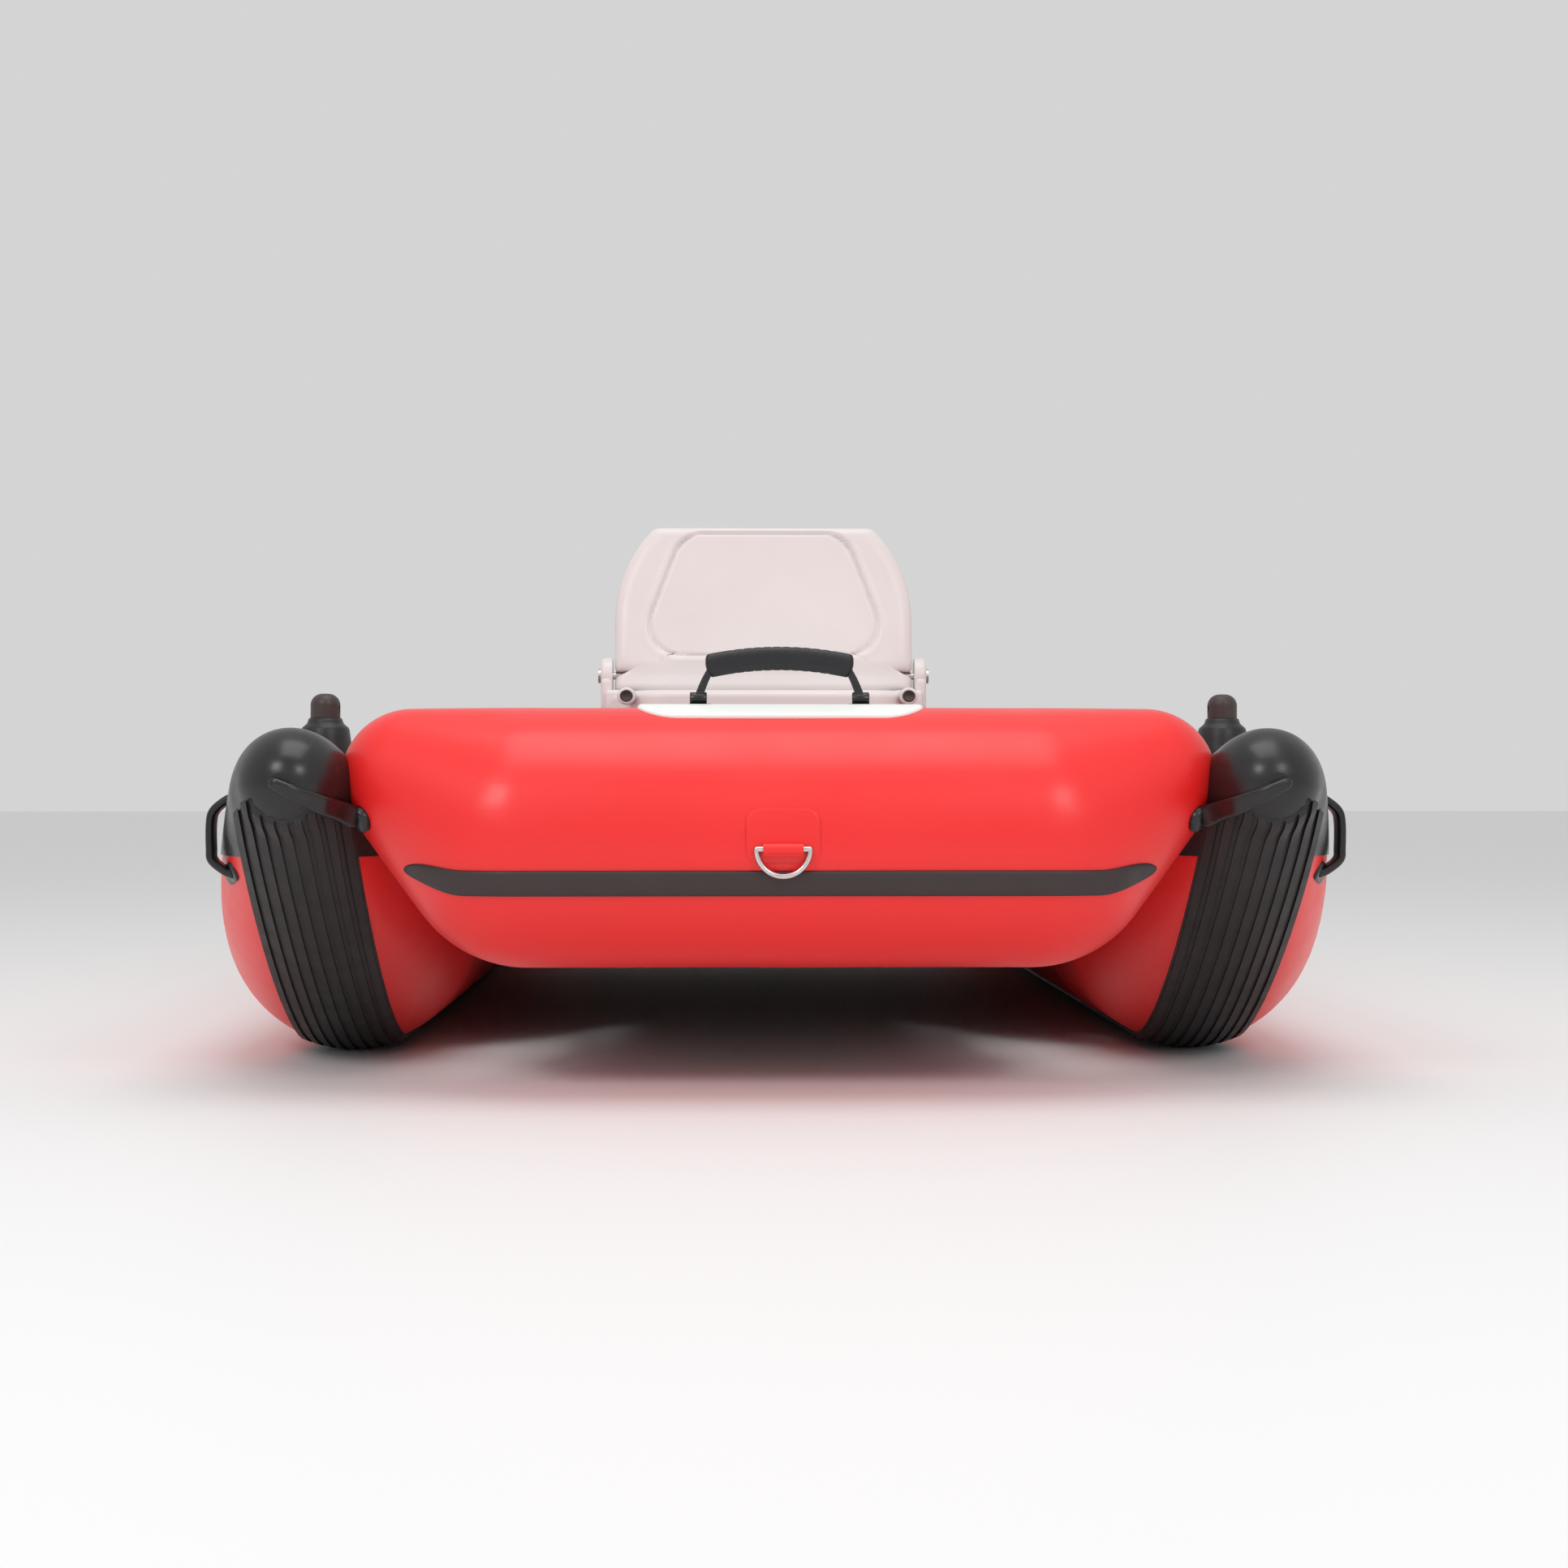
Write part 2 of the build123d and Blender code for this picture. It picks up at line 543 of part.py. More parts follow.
# ---- transom ----
with BuildPart() as transom:
    with BuildSketch(Plane.XZ.offset(-TRANSOM_BACK)):
        with BuildLine():
            Polyline((-430, TRANSOM_LOW), (430, TRANSOM_LOW), (430, 300), (345, TRANSOM_HIGH),
                     (185, TRANSOM_HIGH), (150, TRANSOM_DIP), (-150, TRANSOM_DIP),
                     (-185, TRANSOM_HIGH), (-345, TRANSOM_HIGH), (-430, 300), close=True)
        transom_face = make_face()
        fillet(transom_face.vertices().group_by(Axis.Y)[-1], radius=22)
        with Locations((-TUBE_X, TUBE_Z), (TUBE_X, TUBE_Z)):
            Circle(TUBE_R + HOLDER_T, mode=Mode.SUBTRACT)
    extrude(amount=TRANSOM_T)
    with Locations((DRAIN_X, TRANSOM_Y, DRAIN_Z)):
        Cylinder(DRAIN_R, 2 * TRANSOM_T, rotation=(90, 0, 0), mode=Mode.SUBTRACT)
save(transom.part, "transom")

with BuildPart() as transom_holder:
    for y, reach, depth in ((TRANSOM_BACK + 36, HOLDER_T, TRANSOM_T + 72),
                            (TRANSOM_BACK + 8, 26, 8), (TRANSOM_FRONT, 26, 8)):
        with BuildSketch(Plane.XZ.offset(-y)):
            with Locations((TUBE_X, TUBE_Z)):
                Circle(TUBE_R + reach)
                Circle(TUBE_R, mode=Mode.SUBTRACT)
            with Locations((TUBE_X - 150, 262)):
                Rectangle(210, 74, mode=Mode.INTERSECT)
        extrude(amount=depth)
save_pair(transom_holder.part, "transom_holder")

with BuildPart() as motor_pad:
    with BuildSketch(Plane.XZ.offset(-TRANSOM_BACK)):
        with Locations((0, MOTOR_PAD_Z)):
            RectangleRounded(*MOTOR_PAD, 18)
    extrude(amount=-MOTOR_PAD_T)
save(motor_pad.part, "motor_pad_aft")

with BuildPart() as clamp_plate:
    with BuildSketch(Plane.XZ.offset(-TRANSOM_FRONT)):
        with Locations((0, MOTOR_PAD_Z)):
            RectangleRounded(*MOTOR_PAD, 18)
    extrude(amount=4)
save(clamp_plate.part, "clamp_plate_inner")

with BuildPart() as drain_tube:
    with BuildSketch(Plane.YZ.offset(DRAIN_X)):
        with BuildLine():
            Polyline((TRANSOM_FRONT - 3, DRAIN_Z + DRAIN_BORE), (TRANSOM_FRONT - 3, DRAIN_Z + 26),
                     (TRANSOM_FRONT, DRAIN_Z + 26), (TRANSOM_FRONT, DRAIN_Z + DRAIN_R),
                     (TRANSOM_BACK, DRAIN_Z + DRAIN_R), (TRANSOM_BACK, DRAIN_Z + 26),
                     (TRANSOM_BACK + 3, DRAIN_Z + 26), (TRANSOM_BACK + 3, DRAIN_Z + DRAIN_BORE),
                     close=True)
        make_face()
    revolve(axis=Axis((DRAIN_X, 0, DRAIN_Z), (0, 1, 0)))
save(drain_tube.part, "drain_tube")

with BuildPart() as drain_plug:
    with BuildSketch(Plane.XZ.offset(-TRANSOM_BACK - 3)):
        with Locations((DRAIN_X, DRAIN_Z)):
            Circle(20)
    extrude(amount=-9)
    with BuildSketch(Plane.XZ.offset(-TRANSOM_BACK - 3)):
        with Locations((DRAIN_X, DRAIN_Z)):
            Circle(DRAIN_BORE - PIN_PLAY)
    extrude(amount=26)
    with BuildSketch(Plane.YZ.offset(DRAIN_X - 3)):
        with Locations((TRANSOM_BACK + 18, DRAIN_Z)):
            SlotOverall(30, 24, rotation=0)
            Circle(6, mode=Mode.SUBTRACT)
    extrude(amount=6)
save(drain_plug.part, "drain_plug")

with BuildPart() as stern_eye:
    with BuildSketch(Plane.XZ.offset(-TRANSOM_BACK)):
        with Locations((EYE_X, EYE_Z)):
            RectangleRounded(52, 66, 10)
    extrude(amount=-4)
    with BuildSketch(Plane.YZ.offset(EYE_X - 13)):
        with Locations((EYE_Y, EYE_Z)):
            Circle(8)
        with Locations(((EYE_Y + TRANSOM_BACK) / 2, EYE_Z)):
            Rectangle(EYE_Y - TRANSOM_BACK, 16)
    extrude(amount=26)
    with BuildSketch(Plane.YZ.offset(EYE_X - 20)):
        with Locations((EYE_Y, EYE_Z)):
            Circle(STERN_WIRE / 2 + PIN_PLAY)
    extrude(amount=40, mode=Mode.SUBTRACT)
save_pair(stern_eye.part, "stern_eye")

save_pair(d_ring(Plane(origin=(EYE_X, EYE_Y, EYE_Z), x_dir=(1, 0, 0), z_dir=(0, -1, 0)),
                 56, 42, STERN_WIRE), "stern_ring")

# ---- seat ----
with BuildPart() as seat_box:
    with BuildSketch(Plane.XY.offset(FLOOR_TOP)):
        with Locations((0, SEAT_BOX_Y)):
            RectangleRounded(SEAT_BOX[0] + 50, SEAT_BOX[1] + 50, 20)
    extrude(amount=6)
    with BuildSketch(Plane.XY.offset(FLOOR_TOP)):
        with Locations((0, SEAT_BOX_Y)):
            RectangleRounded(*SEAT_BOX, 30)
    extrude(amount=SEAT_BOX_TOP - FLOOR_TOP)
    with BuildSketch(Plane.XY.offset(FLOOR_TOP)):
        with Locations((0, SEAT_BOX_Y)):
            RectangleRounded(SEAT_BOX[0] - 12, SEAT_BOX[1] - 12, 24)
    extrude(amount=SEAT_BOX_TOP - FLOOR_TOP, mode=Mode.SUBTRACT)
save(seat_box.part, "seat_box")


def pan_outline(inset):
    """The seat pan in plan: rounded in front, wider aft."""
    front, back = SEAT_FRONT + inset, SEAT_BACK - inset
    wide, narrow = 245 - inset, 205 - inset
    with BuildSketch(Plane.XY.offset(SEAT_BOX_TOP)) as outline:
        with BuildLine():
            Polyline((-narrow, front), (narrow, front), (wide, front + 190), (wide, back),
                     (-wide, back), (-wide, front + 190), close=True)
        face = make_face()
        fillet(face.vertices().group_by(Axis.Y)[0], radius=60)
        fillet(outline.vertices().group_by(Axis.Y)[-1], radius=24)
    return outline.sketch


with BuildPart() as seat_pan:
    extrude(pan_outline(0), amount=SEAT_TOP - SEAT_BOX_TOP)
    fillet(seat_pan.faces().sort_by(Axis.Z)[-1].edges(), radius=16)
    fillet(seat_pan.faces().sort_by(Axis.Z)[0].edges(), radius=8)
    with BuildSketch(Plane.XY.offset(SEAT_TOP - 5)):
        with Locations((0, SEAT_FRONT + 235)):
            RectangleRounded(360, 300, 70)
    extrude(amount=10, mode=Mode.SUBTRACT)
    extrude(pan_outline(7).moved(Pos(0, 0, 6)), amount=SEAT_TOP - SEAT_BOX_TOP - 17, mode=Mode.SUBTRACT)
    with BuildSketch(Plane.XY.offset(SEAT_BOX_TOP)):
        with Locations((0, SEAT_BOX_Y)):
            RectangleRounded(SEAT_BOX[0] - 50, SEAT_BOX[1] - 50, 20)
    extrude(amount=8, mode=Mode.SUBTRACT)
    with BuildSketch(Plane.YZ.offset(EAR_IN)):
        with Locations((HINGE_Y, HINGE_Z)):
            Circle(EAR_R)
        with Locations((HINGE_Y, (HINGE_Z + 470) / 2)):
            Rectangle(2 * EAR_R, HINGE_Z - 470)
    ear = extrude(amount=EAR_OUT - EAR_IN)
    with BuildSketch(Plane.YZ.offset(238)):
        with Locations((HINGE_Y, 486)):
            Rectangle(2 * EAR_R, 32)
    extrude(amount=EAR_IN - 238)
    fillet(ear.edges().filter_by(GeomType.CIRCLE).sort_by(Axis.X)[-1:], radius=6)
    mirror(about=Plane.YZ)
    with BuildSketch(Plane.YZ.offset(-EAR_OUT - 1)):
        with Locations((HINGE_Y, HINGE_Z)):
            Circle(HINGE_PIN)
    extrude(amount=2 * EAR_OUT + 2, mode=Mode.SUBTRACT)
save(seat_pan.part, "seat_pan")

BACK_PLANE = Plane(origin=(0, HINGE_Y, HINGE_Z), x_dir=(1, 0, 0),
                   z_dir=(0, -cos(radians(BACK_LEAN)), sin(radians(BACK_LEAN))))
with BuildPart() as backrest:
    with BuildSketch(BACK_PLANE):
        with BuildLine():
            base = Polyline((-BACK_HALF, 95), (-BACK_HALF, -28), (BACK_HALF, -28), (BACK_HALF, 95))
            right = TangentArc(base @ 1, (BACK_TOP_HALF + 6, 250), tangent=(0, 1))
            left = TangentArc(base @ 0, (-BACK_TOP_HALF - 6, 250), tangent=(0, 1))
            Line(left @ 1, right @ 1)
        back_face = make_face()
        fillet(back_face.vertices().group_by(Axis.Y)[-1], radius=16)
        fillet(back_face.vertices().group_by(Axis.Y)[0], radius=12)
    extrude(amount=BACK_T / 2, both=True)
    fillet(backrest.faces().sort_by(Axis((0, 0, 0), BACK_PLANE.z_dir))[-1].edges(), radius=9)
    fillet(backrest.faces().sort_by(Axis((0, 0, 0), BACK_PLANE.z_dir))[0].edges(), radius=9)
    with BuildSketch(BACK_PLANE.offset(BACK_T / 2 - 6)):
        with BuildLine():
            Polyline((-138, 233), (138, 233), (196, 78), (170, 30), (-170, 30), (-196, 78), close=True)
        panel = make_face()
        fillet(panel.vertices(), radius=34)
    extrude(amount=20, mode=Mode.SUBTRACT)
    with BuildSketch(Plane.YZ.offset(-EAR_OUT)):
        with Locations((HINGE_Y, HINGE_Z)):
            Circle(HINGE_PIN + PIN_PLAY)
    extrude(amount=2 * EAR_OUT, mode=Mode.SUBTRACT)
save(backrest.part, "seat_backrest")

with BuildPart() as seat_pin:
    with BuildSketch(Plane.YZ.offset(EAR_IN - 60)):
        with Locations((HINGE_Y, HINGE_Z)):
            Circle(HINGE_PIN)
    extrude(amount=EAR_OUT - EAR_IN + 60)
    with BuildSketch(Plane.YZ.offset(EAR_OUT)):
        with Locations((HINGE_Y, HINGE_Z)):
            Circle(12)
    extrude(amount=5)
save_pair(seat_pin.part, "seat_pin")

# ---- swivel fittings on the noses ----
with BuildPart() as swivel_base:
    with BuildSketch(Plane.XY.offset(350)):
        with Locations((SWIVEL_X, SWIVEL_Y)):
            Circle(34)
    extrude(amount=404 - 350)
    with BuildSketch(Plane.XY.offset(404)):
        with Locations((SWIVEL_X, SWIVEL_Y)):
            Circle(34)
    extrude(amount=SWIVEL_Z - 404, taper=17)
    with BuildPart(mode=Mode.PRIVATE) as foot:
        add(nose_form(3))
        with Locations((SWIVEL_X, SWIVEL_Y, 450)):
            Cylinder(46, 200, mode=Mode.INTERSECT)
        with Locations((SWIVEL_X, SWIVEL_Y, 230)):
            Box(200, 200, 200, mode=Mode.SUBTRACT)
    add(foot.part)
    add(FORMS[0], mode=Mode.SUBTRACT)
    with Locations((SWIVEL_X, SWIVEL_Y, SWIVEL_Z)):
        Cylinder(SWIVEL_STEM + PIN_PLAY, 2 * 27, mode=Mode.SUBTRACT)
save_pair(swivel_base.part, "swivel_base")

with BuildPart() as swivel:
    with BuildSketch(Plane.XY.offset(SWIVEL_Z + GAP)):
        with Locations((SWIVEL_X, SWIVEL_Y)):
            Circle(SWIVEL_HEAD)
    extrude(amount=31)
    fillet(swivel.faces().sort_by(Axis.Z)[-1].edges(), radius=15)
    with BuildSketch(Plane.XY.offset(SWIVEL_Z - 26)):
        with Locations((SWIVEL_X, SWIVEL_Y)):
            Circle(SWIVEL_STEM)
    extrude(amount=30)
    with BuildSketch(Plane.YZ.offset(SWIVEL_X - 30)):
        with Locations((SWIVEL_Y, SWIVEL_Z + 12)):
            Circle(SWIVEL_BORE)
    extrude(amount=60, mode=Mode.SUBTRACT)
save_pair(swivel.part, "swivel")

# ---- inflation valves ----
def valve(plane, backing):
    """Body, sprung poppet and turning cap of one valve on a plane whose normal points out."""
    with BuildPart() as body:
        with BuildSketch(plane.offset(-8)):
            Circle(VALVE_FLANGE)
        extrude(amount=11)
        add(backing, mode=Mode.SUBTRACT)
        with BuildSketch(plane.offset(-VALVE_DEPTH)):
            Circle(VALVE_R)
        extrude(amount=VALVE_DEPTH + 3)
        with BuildSketch(plane.offset(-VALVE_DEPTH)):
            Circle(VALVE_BORE)
            Rectangle(2 * VALVE_BORE, 6, mode=Mode.SUBTRACT)
            Rectangle(6, 2 * VALVE_BORE, mode=Mode.SUBTRACT)
        extrude(amount=6, mode=Mode.SUBTRACT)
        with BuildSketch(plane.offset(6 - VALVE_DEPTH)):
            Circle(VALVE_BORE)
        extrude(amount=VALVE_DEPTH - 11, mode=Mode.SUBTRACT)
        with BuildSketch(plane.offset(-6)):
            Circle(VALVE_SEAT)
        extrude(amount=12, mode=Mode.SUBTRACT)
        with BuildSketch(plane.offset(-VALVE_DEPTH - 1)):
            Circle(VALVE_STEM + PIN_PLAY)
        extrude(amount=10, mode=Mode.SUBTRACT)
    with BuildPart() as poppet:
        with BuildSketch(plane.offset(-8)):
            Circle(VALVE_BORE - 1)
        extrude(amount=3 - 0.02)
        with BuildSketch(plane.offset(2 - VALVE_DEPTH)):
            Circle(VALVE_STEM)
        extrude(amount=VALVE_DEPTH - 3)
    with BuildPart() as cap:
        with BuildSketch(plane.offset(3 + GAP)):
            Circle(25)
            with PolarLocations(27.5, 12):
                Circle(5, mode=Mode.SUBTRACT)
        extrude(amount=9)
        with BuildSketch(plane.offset(12 + GAP)):
            SlotOverall(38, 8)
        extrude(amount=5)
    return {"valve_body": body.part, "valve_poppet": poppet.part, "valve_cap": cap.part}


for place, backing in (("bow", BOW), ("floor", floor.part)):
    for name, piece in valve(VALVES[place], backing).items():
        save(piece, f"{name}_{place}")
for name, piece in valve(VALVES["port"], FORMS[1]).items():
    save_pair(piece, name)
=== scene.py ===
"""Looks of the inflatable dinghy: coated fabric tubes, moulded caps, a moulded seat and their fittings."""
import json
from math import atan2, cos, exp, hypot, pi, radians, sin, sqrt, tau

import bmesh
import bpy
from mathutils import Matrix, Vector, noise
from mathutils.bvhtree import BVHTree


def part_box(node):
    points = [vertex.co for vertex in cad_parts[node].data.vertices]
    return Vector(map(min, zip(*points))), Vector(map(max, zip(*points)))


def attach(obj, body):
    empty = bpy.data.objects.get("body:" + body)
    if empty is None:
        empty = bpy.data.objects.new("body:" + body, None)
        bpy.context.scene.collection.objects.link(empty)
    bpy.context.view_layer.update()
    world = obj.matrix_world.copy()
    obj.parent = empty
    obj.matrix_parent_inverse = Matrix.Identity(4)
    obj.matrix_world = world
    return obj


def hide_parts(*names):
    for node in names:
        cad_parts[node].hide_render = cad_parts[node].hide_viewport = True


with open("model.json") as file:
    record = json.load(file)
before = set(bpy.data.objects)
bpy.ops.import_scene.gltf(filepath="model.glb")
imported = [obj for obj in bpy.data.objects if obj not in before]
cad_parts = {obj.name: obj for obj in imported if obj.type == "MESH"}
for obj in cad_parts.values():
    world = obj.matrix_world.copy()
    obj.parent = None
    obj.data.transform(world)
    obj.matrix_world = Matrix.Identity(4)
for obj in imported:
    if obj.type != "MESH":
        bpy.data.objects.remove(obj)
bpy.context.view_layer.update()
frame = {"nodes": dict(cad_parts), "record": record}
SIDES = (("port", 1), ("starboard", -1))


# ---- materials ----
class Graph:
    """A material's node graph, with short calls for the nodes that the finishes share."""

    def __init__(self, name, colour, roughness, coat=0.0, sheen=0.0, metal=0.0):
        self.material = bpy.data.materials.new(name)
        self.material.use_nodes = True
        self.tree = self.material.node_tree
        self.shader = self.tree.nodes["Principled BSDF"]
        self.place = self.add("ShaderNodeTexCoord").outputs["Object"]
        self.colour, self.roughness = colour, roughness
        self.shader.inputs["Base Color"].default_value = (*colour, 1)
        self.shader.inputs["Roughness"].default_value = roughness
        self.shader.inputs["Metallic"].default_value = metal
        self.shader.inputs["Coat Weight"].default_value = coat
        self.shader.inputs["Coat Roughness"].default_value = 0.22
        self.shader.inputs["Sheen Weight"].default_value = sheen
        self.height = None

    def add(self, kind, **values):
        """A node with its inputs or settings."""
        node = self.tree.nodes.new(kind)
        for key, value in values.items():
            if key in node.inputs:
                socket = node.inputs[key]
                if hasattr(value, "is_output"):
                    self.tree.links.new(value, socket)
                else:
                    socket.default_value = value
            else:
                setattr(node, key, value)
        return node

    def noise(self, scale, detail=3.0, rough=0.5, stretch=(1, 1, 1)):
        """Noise on object coordinates."""
        mapping = self.add("ShaderNodeMapping", Vector=self.place, Scale=stretch)
        return self.add("ShaderNodeTexNoise", Vector=mapping.outputs["Vector"], Scale=scale, Detail=detail,
                        Roughness=rough).outputs["Fac"]

    def remap(self, value, low, high, to_low, to_high):
        """value moved from one range to another, clamped."""
        return self.add("ShaderNodeMapRange", Value=value, **{"From Min": low, "From Max": high,
                        "To Min": to_low, "To Max": to_high}).outputs["Result"]

    def math(self, operation, a, b=0.5):
        """One arithmetic step."""
        node = self.add("ShaderNodeMath", operation=operation)
        for socket, value in zip(node.inputs, (a, b)):
            if hasattr(value, "is_output"):
                self.tree.links.new(value, socket)
            else:
                socket.default_value = value
        return node.outputs[0]

    def mix(self, share, low, high):
        """A colour between two."""
        node = self.add("ShaderNodeMix", data_type="RGBA")
        for name, value in (("Factor", share), ("A", low), ("B", high)):
            socket = [s for s in node.inputs if s.name == name and s.enabled][0]
            if hasattr(value, "is_output"):
                self.tree.links.new(value, socket)
            elif isinstance(value, float):
                socket.default_value = value
            else:
                socket.default_value = (*value, 1)
        return [s for s in node.outputs if s.enabled][0]

    def tint(self, share, low=0.86, high=1.1):
        """Let the colour wander between a darker and a lighter tone of itself."""
        dark = tuple(min(1.0, c * low) for c in self.colour)
        light = tuple(min(1.0, c * high) for c in self.colour)
        paint = self.mix(share, dark, light)
        self.tree.links.new(paint, self.shader.inputs["Base Color"])
        return paint

    def paint(self, colour):
        """Set the base colour from a socket."""
        self.tree.links.new(colour, self.shader.inputs["Base Color"])

    def gloss(self, share, low, high):
        """Roughness from a share between two values."""
        self.tree.links.new(self.remap(share, 0.3, 0.7, low, high), self.shader.inputs["Roughness"])

    def bump(self, height, distance, strength=1.0):
        """Stack one more layer of relief, in metres."""
        node = self.add("ShaderNodeBump", Height=height, Distance=distance, Strength=strength)
        if self.height is not None:
            self.tree.links.new(self.height, node.inputs["Normal"])
        self.height = node.outputs["Normal"]
        self.tree.links.new(self.height, self.shader.inputs["Normal"])


def coated_fabric(name, colour, roughness, coat, weave=0.0012, relief=0.00004):
    """PVC-coated cloth: a fine basket weave that shows faintly through a glossy coat."""
    g = Graph(name, colour, roughness, coat)
    g.tint(g.noise(2.2, 4.0), 0.93, 1.04)
    g.gloss(g.noise(9.0, 4.0), roughness - 0.05, roughness + 0.06)
    across = [g.add("ShaderNodeTexWave", Vector=g.place, Scale=1 / weave / 20, Distortion=0.6,
                    bands_direction=axis).outputs["Fac"] for axis in ("Y", "Z")]
    g.bump(g.math("MULTIPLY", *across), relief)
    g.bump(g.noise(24.0, 3.0), 0.0006, 0.5)
    return g.material


def moulded(name, colour, roughness, coat=0.0, grain=260.0, relief=0.00008):
    """Moulded plastic or rubber with a fine grain."""
    g = Graph(name, colour, roughness, coat)
    g.tint(g.noise(5.0, 4.0), 0.9, 1.08)
    g.gloss(g.noise(30.0, 4.0), roughness - 0.06, roughness + 0.08)
    g.bump(g.noise(grain, 2.0), relief)
    return g.material


def metal(name, colour, roughness):
    """Drawn and polished metal with light scratches."""
    g = Graph(name, colour, roughness, metal=1.0)
    g.tint(g.noise(40.0, 4.0), 0.9, 1.05)
    g.gloss(g.noise(90.0, 5.0, stretch=(1, 1, 12)), roughness - 0.06, roughness + 0.12)
    g.bump(g.noise(600.0, 2.0, stretch=(1, 1, 8)), 0.00002)
    return g.material


def webbing(name, colour):
    """Woven strap: a herringbone of coarse yarn."""
    g = Graph(name, colour, 0.62, sheen=0.4)
    g.tint(g.noise(60.0, 4.0), 0.75, 1.25)
    yarns = [g.add("ShaderNodeTexWave", Vector=g.place, Scale=scale, Distortion=0.3,
                   bands_direction=axis).outputs["Fac"] for scale, axis in ((95.0, "X"), (60.0, "Z"))]
    g.bump(g.math("MULTIPLY", *yarns), 0.0004)
    return g.material


def plywood(name):
    """Varnished marine plywood."""
    g = Graph(name, (0.50, 0.33, 0.19), 0.35, coat=0.5)
    grain = g.noise(7.0, 8.0, 0.62, stretch=(1, 9, 14))
    g.paint(g.mix(g.remap(grain, 0.35, 0.68, 0.0, 1.0), (0.30, 0.17, 0.08), (0.56, 0.38, 0.22)))
    g.bump(grain, 0.0004, 0.4)
    return g.material


looks = {
    "pvc_red": coated_fabric("pvc_red", (0.90, 0.013, 0.012), 0.42, 0.22),
    "pvc_black": moulded("pvc_black", (0.009, 0.0085, 0.0095), 0.30, 0.10, grain=160.0),
    "rubber_ribbed": moulded("rubber_ribbed", (0.016, 0.0145, 0.015), 0.52, 0.0, grain=420.0),
    "rubber_grey": moulded("rubber_grey", (0.036, 0.022, 0.022), 0.5),
    "webbing_black": webbing("webbing_black", (0.010, 0.010, 0.011)),
    "grip_black": moulded("grip_black", (0.010, 0.010, 0.013), 0.42),
    "pad_white": moulded("pad_white", (0.88, 0.90, 0.87), 0.42),
    "floor_grey": coated_fabric("floor_grey", (0.20, 0.205, 0.215), 0.55, 0.05, weave=0.004, relief=0.0002),
    "seat_white": moulded("seat_white", (0.80, 0.74, 0.73), 0.40, 0.15, grain=500.0),
    "plastic_black": moulded("plastic_black", (0.011, 0.011, 0.012), 0.42),
    "plastic_brown": moulded("plastic_brown", (0.048, 0.033, 0.029), 0.45),
    "plywood": plywood("plywood"),
    "steel": metal("steel", (0.70, 0.68, 0.66), 0.22),
    "brass": metal("brass", (0.72, 0.52, 0.26), 0.30),
}
slot_of = {row["node"]: row["material_slot"] for row in frame["record"]["subparts"]}
for name, node in frame["nodes"].items():
    node.data.materials.clear()
    node.data.materials.append(looks[slot_of[name]])


# ---- building blocks ----
def piece(name, points, faces, finish, body="hull", replaces=()):
    """A mesh in the boat's frame that rides on a body, its faces turned outwards."""
    mesh = bpy.data.meshes.new(name)
    mesh.from_pydata([tuple(p) for p in points], [], faces)
    mesh.shade_smooth()
    mesh.materials.append(looks[finish])
    shape = bmesh.new()
    shape.from_mesh(mesh)
    bmesh.ops.recalc_face_normals(shape, faces=shape.faces)
    shape.to_mesh(mesh)
    shape.free()
    made = bpy.data.objects.new(name, mesh)
    bpy.context.scene.collection.objects.link(made)
    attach(made, body)
    if replaces:
        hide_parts(*replaces)
    return made


def skin(rings):
    """Points and faces of a closed skin over rings of equal length, its ends filled by fans."""
    count = len(rings[0])
    points = [Vector(p) for ring in rings for p in ring]
    faces = []
    for i in range(len(rings) - 1):
        for j in range(count):
            k = (j + 1) % count
            faces.append((i * count + j, i * count + k, (i + 1) * count + k, (i + 1) * count + j))
    for start in (0, (len(rings) - 1) * count):
        points.append(sum(points[start:start + count], Vector()) / count)
        faces += [(start + j, start + (j + 1) % count, len(points) - 1) for j in range(count)]
    return points, faces


def joined(*shapes):
    """Several (points, faces) as one."""
    points, faces = [], []
    for some, theirs in shapes:
        faces += [tuple(i + len(points) for i in face) for face in theirs]
        points += list(some)
    return points, faces


def mirrored(shape):
    """A shape's image on the other side of the boat."""
    return [Vector((-p[0], p[1], p[2])) for p in shape[0]], shape[1]


def sided(shape, side):
    """A port shape for either side."""
    return shape if side > 0 else mirrored(shape)


def surface_of(*nodes):
    """A search tree over the surfaces of CAD nodes."""
    points, faces = [], []
    for node in nodes:
        mesh, start = frame["nodes"][node].data, len(points)
        points += [v.co.copy() for v in mesh.vertices]
        faces += [[start + i for i in face.vertices] for face in mesh.polygons]
    return BVHTree.FromPolygons(points, faces)


def outermost(tree, centre, direction, reach=0.6):
    """The outermost point of a surface from a centre along a direction."""
    hit = tree.ray_cast(centre + direction * reach, -direction, reach)[0]
    return hit if hit is not None else centre.copy()


def spread(low, high, count):
    """Evenly spaced values, both ends included."""
    return [low + (high - low) * i / (count - 1) for i in range(count)]


def ease(value, low, high):
    """A smooth step from 0 at low to 1 at high."""
    share = min(1.0, max(0.0, (value - low) / (high - low)))
    return share * share * (3 - 2 * share)


def section(width, depth, corner, steps=6):
    """A rounded rectangle as a loop of (x, y)."""
    loop = []
    for turn in range(4):
        mid = (width / 2 - corner) * (1 if turn in (0, 3) else -1), \
              (depth / 2 - corner) * (1 if turn in (0, 1) else -1)
        for step in range(steps + 1):
            angle = (turn + step / steps) * pi / 2
            loop.append((mid[0] + corner * cos(angle), mid[1] + corner * sin(angle)))
    return loop


